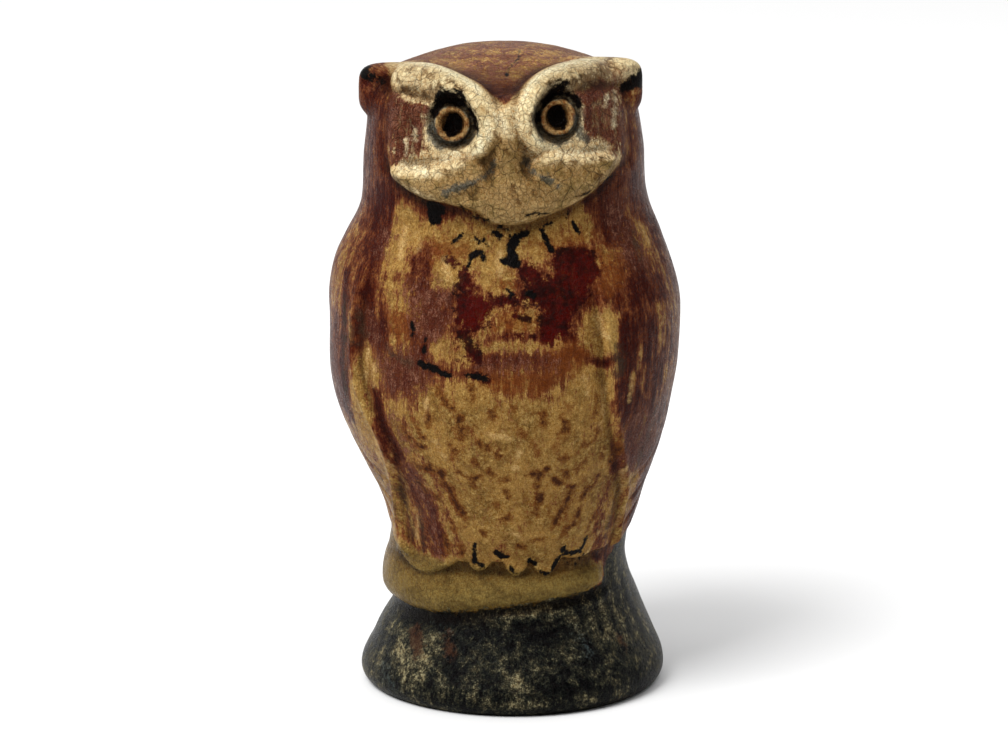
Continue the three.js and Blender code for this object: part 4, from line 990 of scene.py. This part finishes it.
def cracks(scale, width):
    """Crazing: near 1 within a width of the walls between cells of scattered points."""
    wall = Field.made("TexVoronoi", {"feature": "DISTANCE_TO_EDGE"}, {"Vector": bent_place, "Scale": scale})
    return 1 - ramped(wall, 0.15 * width * scale, width * scale)


shown = ramped(blotch + 0.4 * speck, -0.5, 0.5)
craze = cracks(215.0, 0.00026) * (0.25 + 0.75 * shown) + cracks(440.0, 0.0002) * (0.7 - 0.4 * shown)
colour = blend(colour, slip("180C06"), craze * (0.24 + 0.3 * stored("cream")))

raised = 0.3 * streak + 0.35 * fine_streak + 0.45 * torn + 0.15 * fleck - 0.25 * furrow - 0.2 * crease
bump = Field.made("Bump", {}, {"Strength": 0.8, "Distance": 0.0005,
                               "Height": raised - craze * (0.3 + 0.6 * stored("cream"))})
gloss = 0.3 + 0.15 * speck + 0.06 * blotch + 0.08 * fleck + 0.08 * craze
shader = Field.made("BsdfPrincipled", {}, {
    "Base Color": colour, "Roughness": gloss, "Normal": bump, "IOR": 1.5, "Specular IOR Level": 0.045})
Field.made("OutputMaterial", {}, {"Surface": shader})
owl.data.materials.append(glaze)

# The table: a wide pale sweep under soft studio light. The side of the room behind the camera
# is dark, so that the glaze keeps its depth from the front and shines along its sides.
floor_mesh = bpy.data.meshes.new("table_sweep")
floor_mesh.from_pydata([(-9, -9, 0), (9, -9, 0), (9, 9, 0), (-9, 9, 0)], [], [(0, 1, 2, 3)])
floor = bpy.data.objects.new("table_sweep", floor_mesh)
bpy.context.scene.collection.objects.link(floor)
floor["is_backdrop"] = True
paper = bpy.data.materials.new("white_paper")
paper.use_nodes = True
paper.node_tree.nodes.clear()
Field.tree = paper.node_tree
sheet = Field.made("BsdfPrincipled", {}, {"Base Color": (0.66, 0.66, 0.66, 1), "Roughness": 0.9,
                                          "Specular IOR Level": 0.05})
Field.made("OutputMaterial", {}, {"Surface": sheet})
floor.data.materials.append(paper)

world = bpy.data.worlds.new("studio")
bpy.context.scene.world = world
world.use_nodes = True
world.node_tree.nodes.clear()
Field.tree = world.node_tree
towards = Field.made("TexCoord", {}, {}, "Generated")
lifted = Field.made("VectorMath", {"operation": "DOT_PRODUCT"}, {0: towards, 1: (0, 0.34, 0.94)}, "Value")
strength = 0.1 + 2.0 * ramped(lifted, 0.15, 1.0)
Field.made("OutputWorld", {}, {"Surface": Field.made("Background", {}, {"Strength": strength})})
bpy.context.scene.view_settings.view_transform = "Standard"


def look(place, aim):
    """Turn that points -Z from a place to an aim with +Y up."""
    return (Vector(aim) - Vector(place)).to_track_quat("-Z", "Y").to_euler()


def softbox(name, place, aim, size, power):
    """Square area light at a place, turned to aim at a point."""
    light = bpy.data.lights.new(name, "AREA")
    light.shape = "SQUARE"
    light.size = size
    light.energy = power
    lamp = bpy.data.objects.new(name, light)
    lamp.location = place
    lamp.rotation_euler = look(place, aim)
    bpy.context.scene.collection.objects.link(lamp)


softbox("key_softbox", (-2.2, -2.1, 4.2), (0, 0, 0.12), 2.6, 330)

camera = bpy.data.objects.new("camera", bpy.data.cameras.new("camera"))
camera.data.sensor_width = 36
camera.data.lens = 127.65
camera.data.clip_start = 0.05
eye_at = np.array([0, -1.35, 0.42565]) - middle / 1000
aim_at = np.array([0, 0, 0.11963]) - middle / 1000
camera.location = eye_at
camera.rotation_euler = look(eye_at, aim_at)
bpy.context.scene.collection.objects.link(camera)
bpy.context.scene.camera = camera

bpy.context.view_layer.update()
boxes = {"cad": cad_box, "visual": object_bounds()}
{name: [[float(v) for v in corner] for corner in box] for name, box in boxes.items()}
